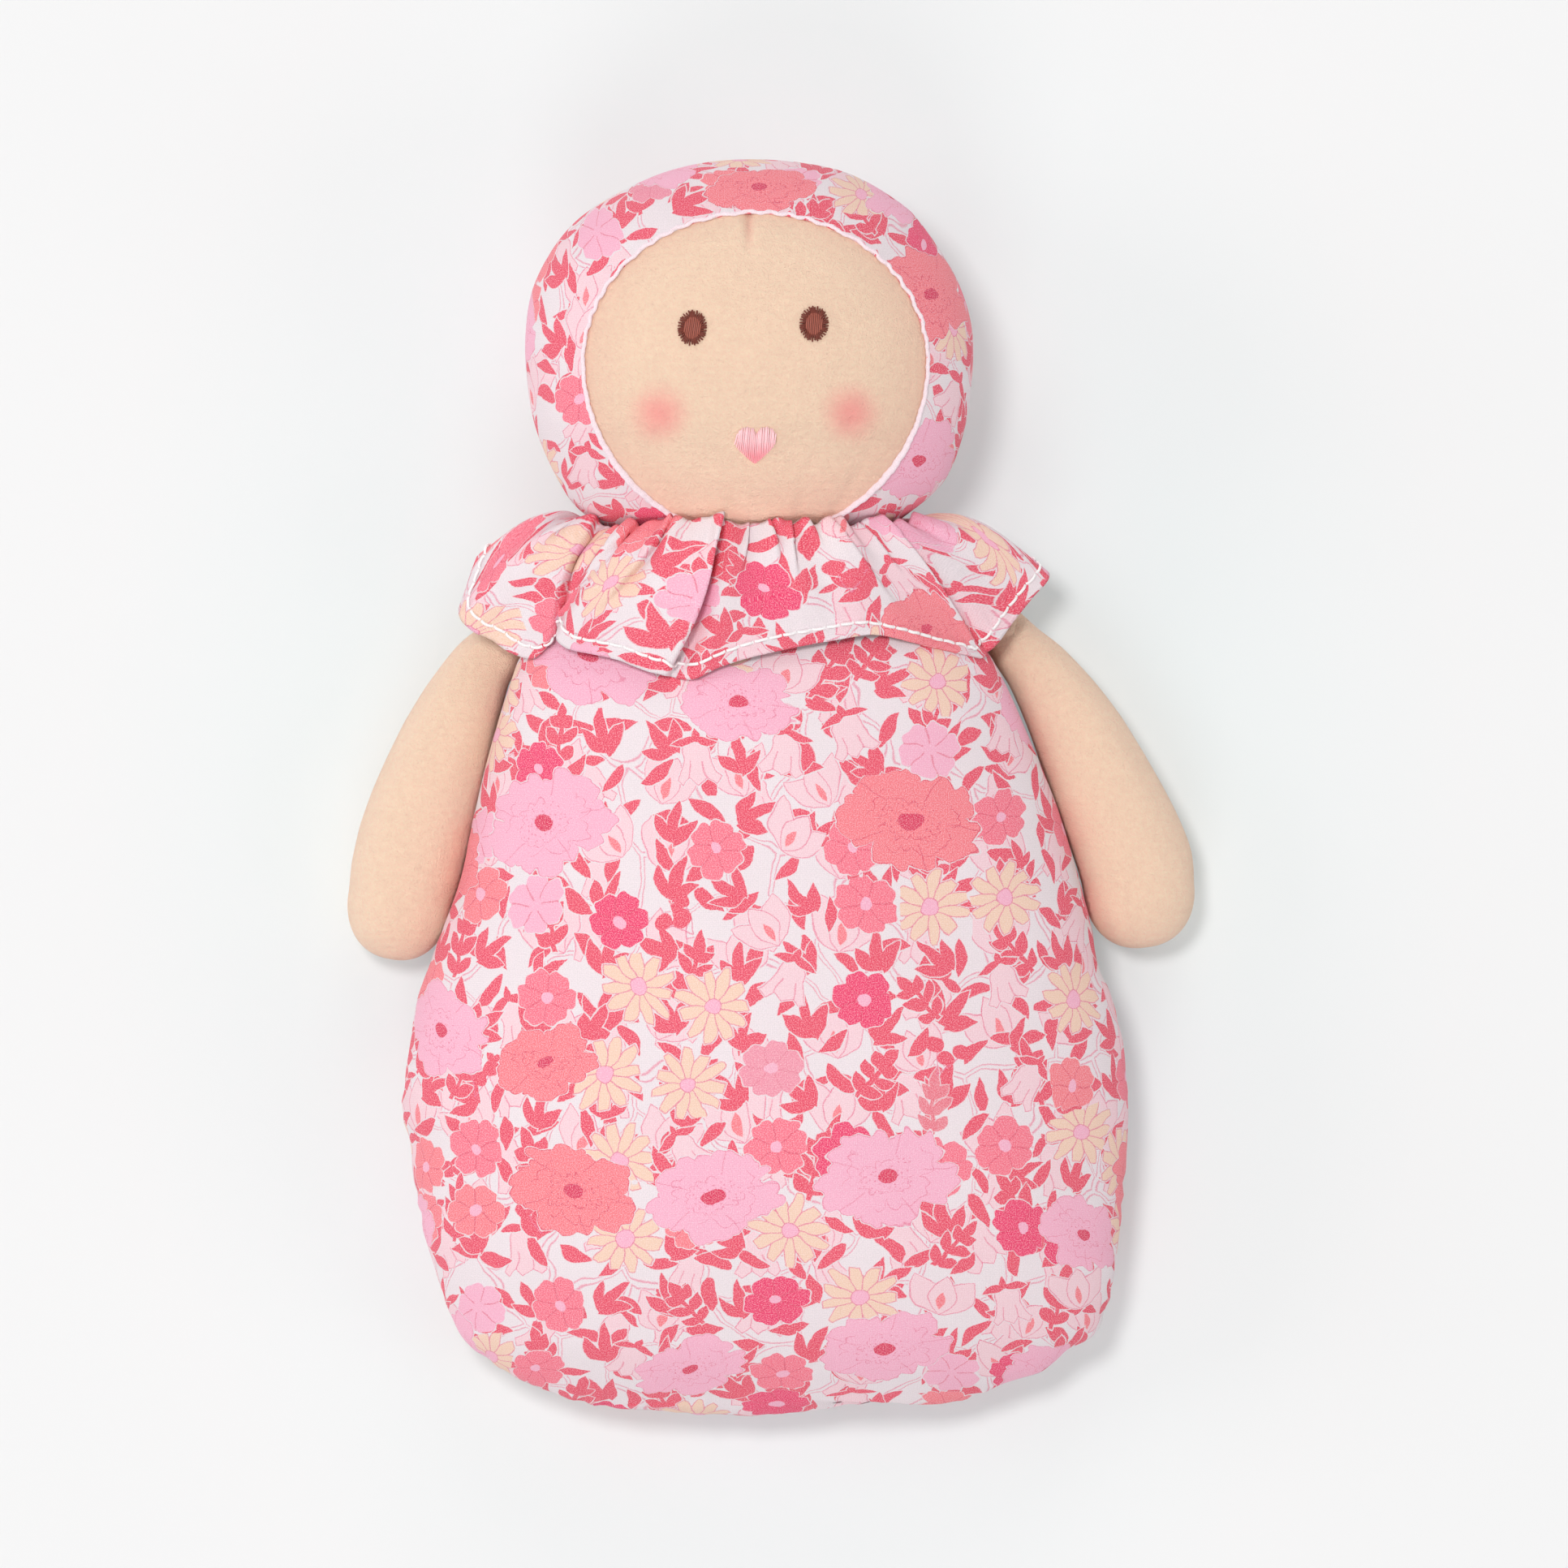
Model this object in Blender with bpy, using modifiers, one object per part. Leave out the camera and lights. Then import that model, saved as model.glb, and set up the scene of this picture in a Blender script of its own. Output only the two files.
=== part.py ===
# Rag doll lying on its back: a printed cotton sack body, a velour head in a printed bonnet,
# a gathered collar ruffle and two stuffed velour arms. Metres, +Z up, the head towards +Y,
# +X to the right of someone looking down at the doll's face.
import math

import bmesh
import bpy
from mathutils import Matrix, Vector
from mathutils.bvhtree import BVHTree

# The doll's arms reach as far left as right, and its middle is the origin.
# What it rests on is pressed flat, and sewn pieces keep a small gap to each other.
flat_cut = 0.0005
seam_gap = 0.0003

# Printed cotton sack with its stuffing
torso_length = 0.1957
torso_width = 0.1676
torso_depth = 0.0600
cotton_wall = 0.0010
neck_lean = 0.0050
neck_gap = 0.0048

# Head: stuffing, velour skin, printed bonnet, piping round the face and embroidery
head_length = 0.0899
head_width = 0.1036
head_depth = 0.0720
velour_wall = 0.0012
bonnet_wall = 0.0010
face_width = 0.0794
face_above = 0.0343
face_below = 0.0403
face_middle_from_crown = 0.0465
face_shift = 0.0010
piping_radius = 0.00045
eye_width = 0.0067
eye_height = 0.0081
eye_spacing = 0.0281
eye_drop_from_crown = 0.0384
mouth_width = 0.0098
mouth_height = 0.0077
mouth_drop_from_crown = 0.0655
stitch_rise = 0.0007

# Neck: a stuffed velour roll on which the head nods and tips
neck_radius = 0.0130
neck_height = 0.0285

# Arms: velour skins on stuffing, each held by a sewn shoulder tab
arm_length = 0.0817
arm_width = 0.0258
arm_depth = 0.0260
arm_bow = 0.0063
arm_root_radius = 0.0064
arm_root_opening = 0.0028
arm_running_gap = 0.0007
arm_swing_range = math.radians(75)
swing_tests = 7
tab_wall = 0.0010
shoulder_height = 0.0125
left_arm_hang = math.radians(19.1)
right_arm_hang = math.radians(26.0)
tab_spread = math.radians(42)
tab_seat_spread = math.radians(64)

# Collar ruffle: a gathered strip round the neck
ruffle_reach = 0.0683
ruffle_drop = 0.0366
ruffle_thickness = 0.0008
ruffle_clearance = 0.0005
ridge_half_width = 0.0385
ridge_half_height = 0.0225
ridge_from_neck = 0.0086
ruffle_fold_height = 0.0020
ruffle_folds = 9
ruffle_steps = 54

# Facets round and along each form
torso_round, torso_along = 28, 20
head_round, head_along = 24, 18
arm_round, arm_along = 14, 14
ball_round, ball_along = 16, 12
piping_steps = 44
eye_steps, mouth_steps = 16, 28

# Rows of a form, from its lower end to its upper end: how far along, half width,
# height of the widest line, rise above it and sink below it, all as shares.
torso_shares = [
    (0.000, 0.00, 0.300, 0.000, 0.000),
    (0.030, 0.62, 0.310, 0.210, 0.210),
    (0.090, 0.84, 0.320, 0.420, 0.310),
    (0.200, 0.955, 0.330, 0.590, 0.330),
    (0.360, 1.00, 0.333, 0.667, 0.333),
    (0.510, 0.935, 0.333, 0.657, 0.333),
    (0.665, 0.835, 0.340, 0.590, 0.340),
    (0.800, 0.74, 0.350, 0.520, 0.350),
    (0.900, 0.655, 0.380, 0.420, 0.325),
    (0.940, 0.60, 0.410, 0.330, 0.270),
    (0.975, 0.42, 0.440, 0.200, 0.190),
    (1.000, 0.00, 0.475, 0.000, 0.000),
]
head_shares = [
    (0.000, 0.00, 0.395, 0.000, 0.000),
    (0.050, 0.53, 0.410, 0.210, 0.200),
    (0.096, 0.735, 0.430, 0.295, 0.280),
    (0.180, 0.866, 0.460, 0.380, 0.385),
    (0.320, 0.960, 0.490, 0.460, 0.480),
    (0.500, 1.00, 0.500, 0.500, 0.500),
    (0.640, 0.97, 0.500, 0.485, 0.485),
    (0.765, 0.873, 0.500, 0.430, 0.430),
    (0.870, 0.71, 0.500, 0.345, 0.345),
    (0.950, 0.475, 0.500, 0.225, 0.225),
    (1.000, 0.00, 0.500, 0.000, 0.000),
]
# Rows of an arm from its root: how far along the reach, outward bow and thickness
arm_shares = [
    (0.000, 0.00, 0.510),
    (0.150, 0.62, 0.590),
    (0.260, 0.90, 0.730),
    (0.365, 0.98, 0.840),
    (0.470, 1.00, 0.910),
    (0.570, 0.98, 0.965),
    (0.670, 0.92, 0.995),
    (0.765, 0.77, 1.000),
    (0.870, 0.57, 0.915),
    (0.960, 0.24, 0.660),
    (1.000, 0.00, 0.000),
]
# The ruffle's hem round the neck, by angle from the right, through the front, to the
# left and back: reach to the side, drop below the ridge, and height in torso depths.
hem_shares = [
    (0, 1.00, 0.35, 0.30),
    (15, 0.92, 0.59, 0.42),
    (32, 0.79, 0.88, 0.56),
    (50, 0.56, 0.80, 0.76),
    (70, 0.26, 0.75, 0.85),
    (90, -0.07, 0.90, 0.87),
    (105, -0.21, 1.00, 0.86),
    (120, -0.40, 0.93, 0.82),
    (135, -0.65, 0.71, 0.70),
    (150, -0.78, 0.86, 0.56),
    (165, -0.99, 0.64, 0.44),
    (180, -0.93, 0.27, 0.32),
    (210, -0.79, 0.45, 0.045),
    (240, -0.46, 0.66, 0.030),
    (270, 0.00, 0.72, 0.030),
    (300, 0.45, 0.66, 0.030),
    (330, 0.81, 0.45, 0.045),
]

# Each shoulder on the sack: how far out from its middle and how far up from its lower end
left_shoulder_shares = (-0.7172, 0.93255)
right_shoulder_shares = (0.62768, 0.9346)
# The ruffle is sewn on this far down the torso, and drawn in these rows beyond its ridge
ruffle_seam_share = 0.035
hem_row_shares = (0.25, 0.5, 0.75, 1.0)
# Satin stitch: how high its rim stands, and how much of its rise is thread
pad_rim_share = 0.75
pad_thread_share = 0.75

# Places worked out from the sizes
doll_length = torso_length + neck_gap + head_length
crown_y = doll_length / 2
sole_y = -doll_length / 2
torso_top_y = sole_y + torso_length
head_foot_y = crown_y - head_length
neck_centre = Vector((-neck_lean, (torso_top_y + head_foot_y) / 2, neck_height))
bonnet_depth_in = bonnet_wall + seam_gap
skin_depth_in = bonnet_depth_in + velour_wall + seam_gap
torso_core_in = cotton_wall + seam_gap
arm_core_in = velour_wall + seam_gap
tab_inner_radius = arm_root_radius + seam_gap
shoulder_socket_radius = tab_inner_radius + tab_wall + seam_gap
neck_socket_radius = neck_radius + seam_gap
face_x = -neck_lean + face_shift
face_y = crown_y - face_middle_from_crown
cut_overrun = doll_length / 4
ridge_y = neck_centre.y + ridge_from_neck
seam_y = torso_top_y - torso_length * ruffle_seam_share


def clear_scene():
    for item in list(bpy.data.objects):
        bpy.data.objects.remove(item, do_unlink=True)


def collection(name):
    made = bpy.data.collections.new(name)
    bpy.context.scene.collection.children.link(made)
    return made


clear_scene()
doll = collection("rag_doll")
cutters = collection("cutters")


def fabric(name, colour, roughness):
    material = bpy.data.materials.new(name)
    material.use_nodes = True
    shader = material.node_tree.nodes["Principled BSDF"]
    shader.inputs["Base Color"].default_value = (*colour, 1.0)
    shader.inputs["Roughness"].default_value = roughness
    shader.inputs["Metallic"].default_value = 0.0
    return material


def smooth(rows, at, column, rooted=False):
    """A value between the rows by a cubic; a rooted column is read as its square, for round ends."""
    power = 2 if rooted else 1
    last = len(rows) - 1
    at = min(max(at, rows[0][0]), rows[last][0])
    low = max(i for i in range(last) if rows[i][0] <= at)
    x0, x1 = rows[low][0], rows[low + 1][0]
    values = [row[column] ** power for row in rows]

    def slope(i):
        a, b = max(i - 1, 0), min(i + 1, last)
        return (values[b] - values[a]) / (rows[b][0] - rows[a][0])

    span = x1 - x0
    t = (at - x0) / span
    blend = (
        values[low] * (2 * t**3 - 3 * t**2 + 1)
        + values[low + 1] * (3 * t**2 - 2 * t**3)
        + slope(low) * span * (t**3 - 2 * t**2 + t)
        + slope(low + 1) * span * (t**3 - t**2)
    )
    return max(blend, 0.0) ** (1 / power) if rooted else blend


def press_flat(bm, floor):
    """The form is cut flat where it rests."""
    geometry = bm.verts[:] + bm.edges[:] + bm.faces[:]
    bmesh.ops.bisect_plane(bm, geom=geometry, plane_co=(0, 0, floor), plane_no=(0, 0, 1))
    for v in bm.verts:
        v.co.z = max(v.co.z, floor)


def unit_ball(around, along):
    """A sphere with its poles on Y, so that its rings become the form's rings."""
    bm = bmesh.new()
    bmesh.ops.create_uvsphere(bm, u_segments=around, v_segments=along, radius=1)
    bmesh.ops.rotate(bm, verts=bm.verts, matrix=Matrix.Rotation(math.pi / 2, 3, "X"))
    return bm


def grow_by(bm, grow):
    bm.normal_update()
    moves = [v.normal * grow for v in bm.verts]
    for v, move in zip(bm.verts, moves):
        v.co += move


def stuffed_form(shares, foot_y, length, width, depth, lean, facets, inset=0.0, side=0):
    """A sack lying down: each ring of the ball takes the row of shares at its place.
    A side of 1 or -1 keeps only the cloth above or below the widest line."""
    bm = unit_ball(*facets)
    height = bm.verts.layers.float.new("height")
    for v in bm.verts:
        unit = v.co.copy()
        v[height] = unit.z
        at = (1 + unit.y) / 2
        ring = math.sqrt(max(1 - unit.y**2, 0.0))
        across = unit.x / ring if ring > 0.001 else 0.0
        up = unit.z / ring if ring > 0.001 else 0.0
        widest = smooth(shares, at, 2)
        lift = smooth(shares, at, 3 if up > 0 else 4, rooted=True)
        v.co.x = lean(at) + across * smooth(shares, at, 1, rooted=True) * width / 2
        v.co.y = foot_y + at * length
        v.co.z = (widest + up * lift) * depth - flat_cut
    grow_by(bm, -inset)
    press_flat(bm, inset)
    if side:
        height = bm.verts.layers.float["height"]
        gone = [f for f in bm.faces if sum(v[height] for v in f.verts) * side < 0]
        bmesh.ops.delete(bm, geom=gone, context="FACES")
    return bm


def half_shell(form, wall, side):
    """Half of a sewn cover: its outer and inner faces, joined along the seam."""
    outer, inner = form(side=side), form(wall, side=side)
    bmesh.ops.reverse_faces(inner, faces=inner.faces)
    lining = bpy.data.meshes.new("lining")
    inner.to_mesh(lining)
    inner.free()
    outer.from_mesh(lining)
    bpy.data.meshes.remove(lining)
    rims = [e for e in outer.edges if e.is_boundary]
    bmesh.ops.bridge_loops(outer, edges=rims)
    bmesh.ops.recalc_face_normals(outer, faces=outer.faces)
    return outer


def torso_lean(at):
    return -neck_lean * at**3


def head_lean(at):
    return -neck_lean


def torso_form(inset=0.0, side=0, facets=(torso_round, torso_along)):
    return stuffed_form(torso_shares, sole_y, torso_length, torso_width, torso_depth,
                        torso_lean, facets, inset, side)


def head_form(inset=0.0, side=0, facets=(head_round, head_along)):
    return stuffed_form(head_shares, head_foot_y, head_length, head_width, head_depth,
                        head_lean, facets, inset, side)


def tree_of(bm):
    tree = BVHTree.FromBMesh(bm)
    bm.free()
    return tree


def keep_clear(point, tree, clearance):
    """The point, pushed out of a form until it is as far from it as it should be."""
    place, normal, _, _ = tree.find_nearest(point)
    if (point - place).dot(normal) < clearance:
        return place + normal * clearance
    return point


def add(bm, name, material, origin=Vector(), parent=None, group=doll):
    """The finished mesh as an object whose own origin is on its joint."""
    bm.normal_update()
    bmesh.ops.translate(bm, verts=bm.verts, vec=-origin)
    mesh = bpy.data.meshes.new(name)
    bm.to_mesh(mesh)
    bm.free()
    mesh.shade_smooth()
    made = bpy.data.objects.new(name, mesh)
    group.objects.link(made)
    if material:
        mesh.materials.append(material)
    if parent:
        made.parent = parent
    else:
        made.location = origin
    return made


def axis_empty(name, place, parent=None):
    made = bpy.data.objects.new(name, None)
    made.empty_display_size = neck_radius
    doll.objects.link(made)
    if parent:
        made.parent = parent
    made.location = place
    return made


def solidify(item, thickness):
    shell = item.modifiers.new("cloth", "SOLIDIFY")
    shell.thickness = thickness
    shell.offset = -1.0
    shell.use_even_offset = True
    return shell


def cut(item, cutter):
    boolean = item.modifiers.new("cut", "BOOLEAN")
    boolean.operation = "DIFFERENCE"
    boolean.solver = "EXACT"
    boolean.object = cutter


def as_cutter(item):
    item.hide_render = True
    item.display_type = "WIRE"
    return item


def ball_cutter(name, centre, radius):
    bm = bmesh.new()
    bmesh.ops.create_uvsphere(bm, u_segments=ball_round, v_segments=ball_along, radius=radius)
    bmesh.ops.translate(bm, verts=bm.verts, vec=centre)
    return as_cutter(add(bm, name, None, group=cutters))


def shift_height(bm, rise):
    bmesh.ops.translate(bm, verts=bm.verts, vec=(0, 0, rise))


printed = fabric("printed_cotton", (0.78, 0.22, 0.32), 0.85)
velour = fabric("velour", (0.88, 0.62, 0.43), 0.95)
filling = fabric("polyester_filling", (0.86, 0.86, 0.84), 0.95)
binding = fabric("bonnet_binding", (0.93, 0.80, 0.84), 0.80)
brown_thread = fabric("brown_thread", (0.13, 0.05, 0.03), 0.55)
pink_thread = fabric("pink_thread", (0.85, 0.30, 0.42), 0.55)



def on_sack(shares):
    """A shoulder's place on the sack."""
    out, up = shares
    return Vector((out * torso_width / 2, sole_y + up * torso_length, shoulder_height))


# Where each arm is held, and the way it hangs: +1 is the viewer's right
sides = {
    "left": (on_sack(left_shoulder_shares), -1, left_arm_hang),
    "right": (on_sack(right_shoulder_shares), 1, right_arm_hang),
}
neck_cutter = ball_cutter("neck_socket_cutter", neck_centre, neck_socket_radius)
shoulder_cutters = {
    side: ball_cutter(f"{side}_shoulder_socket_cutter", place, shoulder_socket_radius)
    for side, (place, _, _) in sides.items()
}


def make_torso():
    front = half_shell(torso_form, cotton_wall, 1)
    shift_height(front, seam_gap)
    front = add(front, "body_front_panel", printed)
    back = add(half_shell(torso_form, cotton_wall, -1), "body_back_panel", printed)
    core = add(torso_form(torso_core_in), "body_stuffing", filling)
    for piece in (front, back, core):
        cut(piece, neck_cutter)
        for cutter in shoulder_cutters.values():
            cut(piece, cutter)


def make_neck():
    tilt = axis_empty("neck_tilt_axis", neck_centre)
    nod = axis_empty("head_nod_axis", Vector(), tilt)
    bm = bmesh.new()
    bmesh.ops.create_uvsphere(bm, u_segments=ball_round, v_segments=ball_along, radius=neck_radius)
    bmesh.ops.translate(bm, verts=bm.verts, vec=neck_centre)
    add(bm, "neck_roll", velour, neck_centre, tilt)
    return nod


def face_outline(inset, steps):
    """Points of the face opening, drawn in by an inset: an egg, rounder above than below."""
    points = []
    for k in range(steps):
        a = 2 * math.pi * k / steps
        tall = face_above if math.sin(a) > 0 else face_below
        points.append((face_x + (face_width / 2 - inset) * math.cos(a),
                       face_y + (tall - inset) * math.sin(a)))
    return points


def face_cutter():
    bm = bmesh.new()
    bmesh.ops.create_cone(bm, cap_ends=True, segments=48, radius1=1, radius2=1, depth=1)
    for v in bm.verts:
        tall = face_above if v.co.y > 0 else face_below
        v.co.x = face_x + v.co.x * face_width / 2
        v.co.y = face_y + v.co.y * tall
        v.co.z = head_depth / 2 + (v.co.z + 0.5) * cut_overrun
    return as_cutter(add(bm, "face_opening_cutter", None, group=cutters))


def drop_onto(tree, x, y):
    """Height of a form's upper surface over a point."""
    place, _, _, _ = tree.ray_cast(Vector((x, y, head_depth * 2)), Vector((0, 0, -1)))
    return place.z


def make_piping(nod):
    """The bound edge of the bonnet, a thin tube lying on the velour inside the opening."""
    middle = tree_of(head_form(bonnet_depth_in - seam_gap - piping_radius,
                               facets=(head_round * 2, head_along * 2)))
    curve = bpy.data.curves.new("bonnet_piping", "CURVE")
    curve.dimensions = "3D"
    curve.bevel_depth = piping_radius
    curve.bevel_resolution = 1
    route = face_outline(piping_radius + seam_gap, piping_steps)
    spline = curve.splines.new("POLY")
    spline.points.add(len(route) - 1)
    for point, (x, y) in zip(spline.points, route):
        point.co = (x, y, drop_onto(middle, x, y), 1)
    spline.use_cyclic_u = True
    guide = bpy.data.objects.new("bonnet_piping_guide", curve)
    cutters.objects.link(guide)
    bpy.context.view_layer.update()
    seen = guide.evaluated_get(bpy.context.evaluated_depsgraph_get())
    bm = bmesh.new()
    bm.from_mesh(bpy.data.meshes.new_from_object(seen))
    bmesh.ops.remove_doubles(bm, verts=bm.verts, dist=piping_radius / 100)
    bpy.data.objects.remove(guide, do_unlink=True)
    add(bm, "bonnet_piping", binding, neck_centre, nod)


def stitched_pad(name, outline, material, nod):
    """A low pad of satin stitch that follows the velour, from its outline inwards."""
    under = tree_of(head_form(bonnet_depth_in - seam_gap, facets=(head_round * 2, head_along * 2)))
    bm = bmesh.new()
    bmesh.ops.create_circle(bm, cap_ends=True, cap_tris=True, segments=len(outline), radius=1)
    rim = [v for v in bm.verts if v.co.length > 0.5]
    middle = sum((Vector(p) for p in outline), Vector((0, 0))) / len(outline)
    for v in bm.verts:
        flat = middle
        if v in rim:
            turn = math.atan2(v.co.y, v.co.x) % (2 * math.pi)
            flat = Vector(outline[round(turn / (2 * math.pi) * len(outline)) % len(outline)])
        lift = stitch_rise * (pad_rim_share if v in rim else 1)
        v.co = Vector((flat.x, flat.y, drop_onto(under, flat.x, flat.y) + lift))
    bm.normal_update()
    if sum(f.normal.z for f in bm.faces) < 0:
        bmesh.ops.reverse_faces(bm, faces=bm.faces)
    pad = add(bm, name, material, neck_centre, nod)
    solidify(pad, stitch_rise * pad_thread_share)


def eye_outline(x, steps=eye_steps):
    y = crown_y - eye_drop_from_crown
    return [(x + eye_width / 2 * math.cos(2 * math.pi * k / steps),
             y + eye_height / 2 * math.sin(2 * math.pi * k / steps)) for k in range(steps)]


def heart_outline(steps=mouth_steps):
    """The classic heart curve, scaled to the mouth's width and height."""
    y = crown_y - mouth_drop_from_crown
    points = []
    for k in range(steps):
        a = 2 * math.pi * k / steps - math.pi / 2
        across = math.cos(a) ** 3
        turn = math.pi / 2 - a
        tall = 13 * math.cos(turn) - 5 * math.cos(2 * turn) - 2 * math.cos(3 * turn) - math.cos(4 * turn)
        points.append((face_x + across * mouth_width / 2, y + tall / 29 * mouth_height))
    quarter = steps // 4
    return points[quarter:] + points[:quarter]


def make_head(nod):
    opening = face_cutter()
    front = half_shell(head_form, bonnet_wall, 1)
    shift_height(front, seam_gap)
    front = add(front, "bonnet_front", printed, neck_centre, nod)
    back = half_shell(head_form, bonnet_wall, -1)
    back = add(back, "bonnet_back", printed, neck_centre, nod)
    skin = add(head_form(bonnet_depth_in), "head_skin", velour, neck_centre, nod)
    core = add(head_form(skin_depth_in), "head_stuffing", filling, neck_centre, nod)
    solidify(skin, velour_wall)
    cut(front, opening)
    for piece in (front, back, skin, core):
        cut(piece, neck_cutter)
    make_piping(nod)
    for side, way in (("left", -0.5), ("right", 0.5)):
        stitched_pad(f"{side}_eye", eye_outline(face_x + way * eye_spacing), brown_thread, nod)
    stitched_pad("mouth", heart_outline(), pink_thread, nod)


def arm_frame(side):
    """The shoulder, the way along the arm and the way outwards from it."""
    shoulder, way, hang = sides[side]
    along = Vector((way * math.sin(hang), -math.cos(hang), 0))
    outward = Vector((way * math.cos(hang), math.sin(hang), 0))
    return shoulder, along, outward


def clear_of_sack(point, side):
    """The point, kept off the sack wherever the arm's swing takes it."""
    shoulder, way, _ = sides[side]
    _, _, outward = arm_frame(side)
    for k in range(swing_tests):
        swing = Matrix.Rotation(arm_swing_range * k / (swing_tests - 1), 3, outward * -way)
        swung = keep_clear(shoulder + swing @ (point - shoulder), torso_surface, arm_running_gap)
        point = shoulder + swing.transposed() @ (swung - shoulder)
    return point


def arm_form(side, inset=0.0):
    """A tapered, bowed limb: a ball at the shoulder, then rings along its spine."""
    shoulder, along, outward = arm_frame(side)
    bm = unit_ball(arm_round, arm_along)
    up = Vector((0, 0, 1))
    root = arm_root_radius / arm_length
    for v in bm.verts:
        unit = v.co.copy()
        ring = math.sqrt(max(1 - unit.y**2, 0.0))
        across = unit.x / ring if ring > 0.001 else 0.0
        lift = unit.z / ring if ring > 0.001 else 0.0
        at = -root + (1 + unit.y) / 2 * (1 + root)
        if at < 0:
            share = math.sqrt(max(1 - (at / root) ** 2, 0.0)) * arm_root_radius * 2
            wide, deep, bow = share, share, 0.0
        else:
            thick = smooth(arm_shares, at, 2, rooted=True)
            wide, deep = thick * arm_width, thick * arm_depth
            bow = smooth(arm_shares, at, 1) * arm_bow
        v.co = (shoulder + along * at * arm_length + outward * (bow + across * wide / 2)
                + up * lift * deep / 2)
    if bm.calc_volume(signed=True) < 0:
        bmesh.ops.reverse_faces(bm, faces=bm.faces)
    for v in bm.verts:
        away = v.co - shoulder
        if away.length > arm_root_radius:
            if away.angle(-outward) < tab_seat_spread and away.length < arm_width:
                v.co = shoulder + away.normalized() * arm_root_radius
            else:
                v.co = clear_of_sack(v.co, side)
    grow_by(bm, -inset)
    press_flat(bm, inset)
    return bm


def make_arm(side):
    shoulder, along, outward = arm_frame(side)
    lift = axis_empty(f"{side}_arm_lift_axis", shoulder)
    swing = axis_empty(f"{side}_arm_swing_axis", Vector(), lift)
    skin = add(arm_form(side), f"{side}_arm_skin", velour, shoulder, swing)
    solidify(skin, velour_wall)
    opening = ball_cutter(f"{side}_arm_opening_cutter", shoulder - along * arm_root_radius,
                          arm_root_opening)
    cut(skin, opening)
    core = add(arm_form(side, arm_core_in), f"{side}_arm_stuffing", filling, shoulder, swing)
    cut(core, opening)
    make_tab(side, shoulder, -outward, lift)


def make_tab(side, shoulder, inward, lift):
    """The gathered end of the arm that is sewn into the side seam: a cupped tab."""
    bm = bmesh.new()
    bmesh.ops.create_uvsphere(bm, u_segments=ball_round, v_segments=ball_along * 2,
                              radius=tab_inner_radius + tab_wall)
    cosine = math.cos(tab_spread)
    reach = tab_inner_radius + tab_wall
    gone = [v for v in bm.verts if v.co.z < reach * cosine]
    bmesh.ops.delete(bm, geom=gone, context="VERTS")
    turn = Vector((0, 0, 1)).rotation_difference(inward).to_matrix()
    bmesh.ops.rotate(bm, verts=bm.verts, matrix=turn)
    bmesh.ops.translate(bm, verts=bm.verts, vec=shoulder)
    tab = add(bm, f"{side}_shoulder_tab", velour, shoulder, lift)
    solidify(tab, tab_wall)


def hem_point(angle):
    """The hem at an angle round the neck, from the closed list of shares."""
    rows = [(a - 360, *rest) for a, *rest in hem_shares[-3:]]
    rows += hem_shares
    rows += [(a + 360, *rest) for a, *rest in hem_shares[:3]]
    side, drop, high = (smooth(rows, angle, column) for column in (1, 2, 3))
    return Vector((neck_centre.x + side * ruffle_reach, ridge_y - drop * ruffle_drop,
                   high * torso_depth))


def ruffle_line(angle):
    """One line of the ruffle, from its seam on the body over the ridge to the hem."""
    a = math.radians(angle)
    way = Vector((math.cos(a), 0, math.sin(a)))
    ridge = Vector((neck_centre.x + way.x * ridge_half_width, ridge_y,
                    neck_height + way.z * ridge_half_height))
    start = Vector((neck_centre.x, seam_y, neck_height)) + way * ruffle_reach
    seam, normal, _, _ = torso_surface.ray_cast(start, -way)
    seam = seam + normal * (ruffle_thickness / 2 + seam_gap)
    hem = hem_point(angle)
    arch = Vector((0, 0, way.z)) * ruffle_fold_height
    wave = math.cos(math.radians(angle) * ruffle_folds)
    rows = [seam, (seam + ridge) / 2, ridge]
    for share in hem_row_shares:
        fold = way * wave * ruffle_fold_height * share
        rows.append(ridge.lerp(hem, share) + arch * 4 * share * (1 - share) + fold)
    return rows


def make_ruffle():
    """The collar's sheet, closed round the neck, its edge joined row by row."""
    keep = ruffle_thickness / 2 + ruffle_clearance
    solids = [torso_surface, head_surface] + [tree_of(arm_form(side)) for side in sides]
    bm = bmesh.new()
    lines = []
    for k in range(ruffle_steps):
        rows = ruffle_line(360 * k / ruffle_steps)
        line = []
        for number, point in enumerate(rows):
            for _ in range(2):
                for tree in solids if number else []:
                    point = keep_clear(point, tree, keep)
                for place, _, _ in sides.values():
                    away = point - place
                    apart = shoulder_socket_radius + keep
                    if away.length < apart:
                        point = place + away.normalized() * apart
            point.z = max(point.z, keep)
            line.append(bm.verts.new(point))
        lines.append(line)
    for k, line in enumerate(lines):
        after = lines[(k + 1) % len(lines)]
        for row in range(len(line) - 1):
            bm.faces.new((line[row], line[row + 1], after[row + 1], after[row]))
    bmesh.ops.recalc_face_normals(bm, faces=bm.faces)
    ruffle = add(bm, "collar_ruffle", printed)
    solidify(ruffle, ruffle_thickness).offset = 0.0


torso_surface = tree_of(torso_form())
head_surface = tree_of(head_form())
make_torso()
nod_axis = make_neck()
make_head(nod_axis)
for side_name in sides:
    make_arm(side_name)
make_ruffle()
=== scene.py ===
import math

import bmesh
import bpy
import numpy as np
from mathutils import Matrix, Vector
from mathutils.bvhtree import BVHTree


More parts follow.
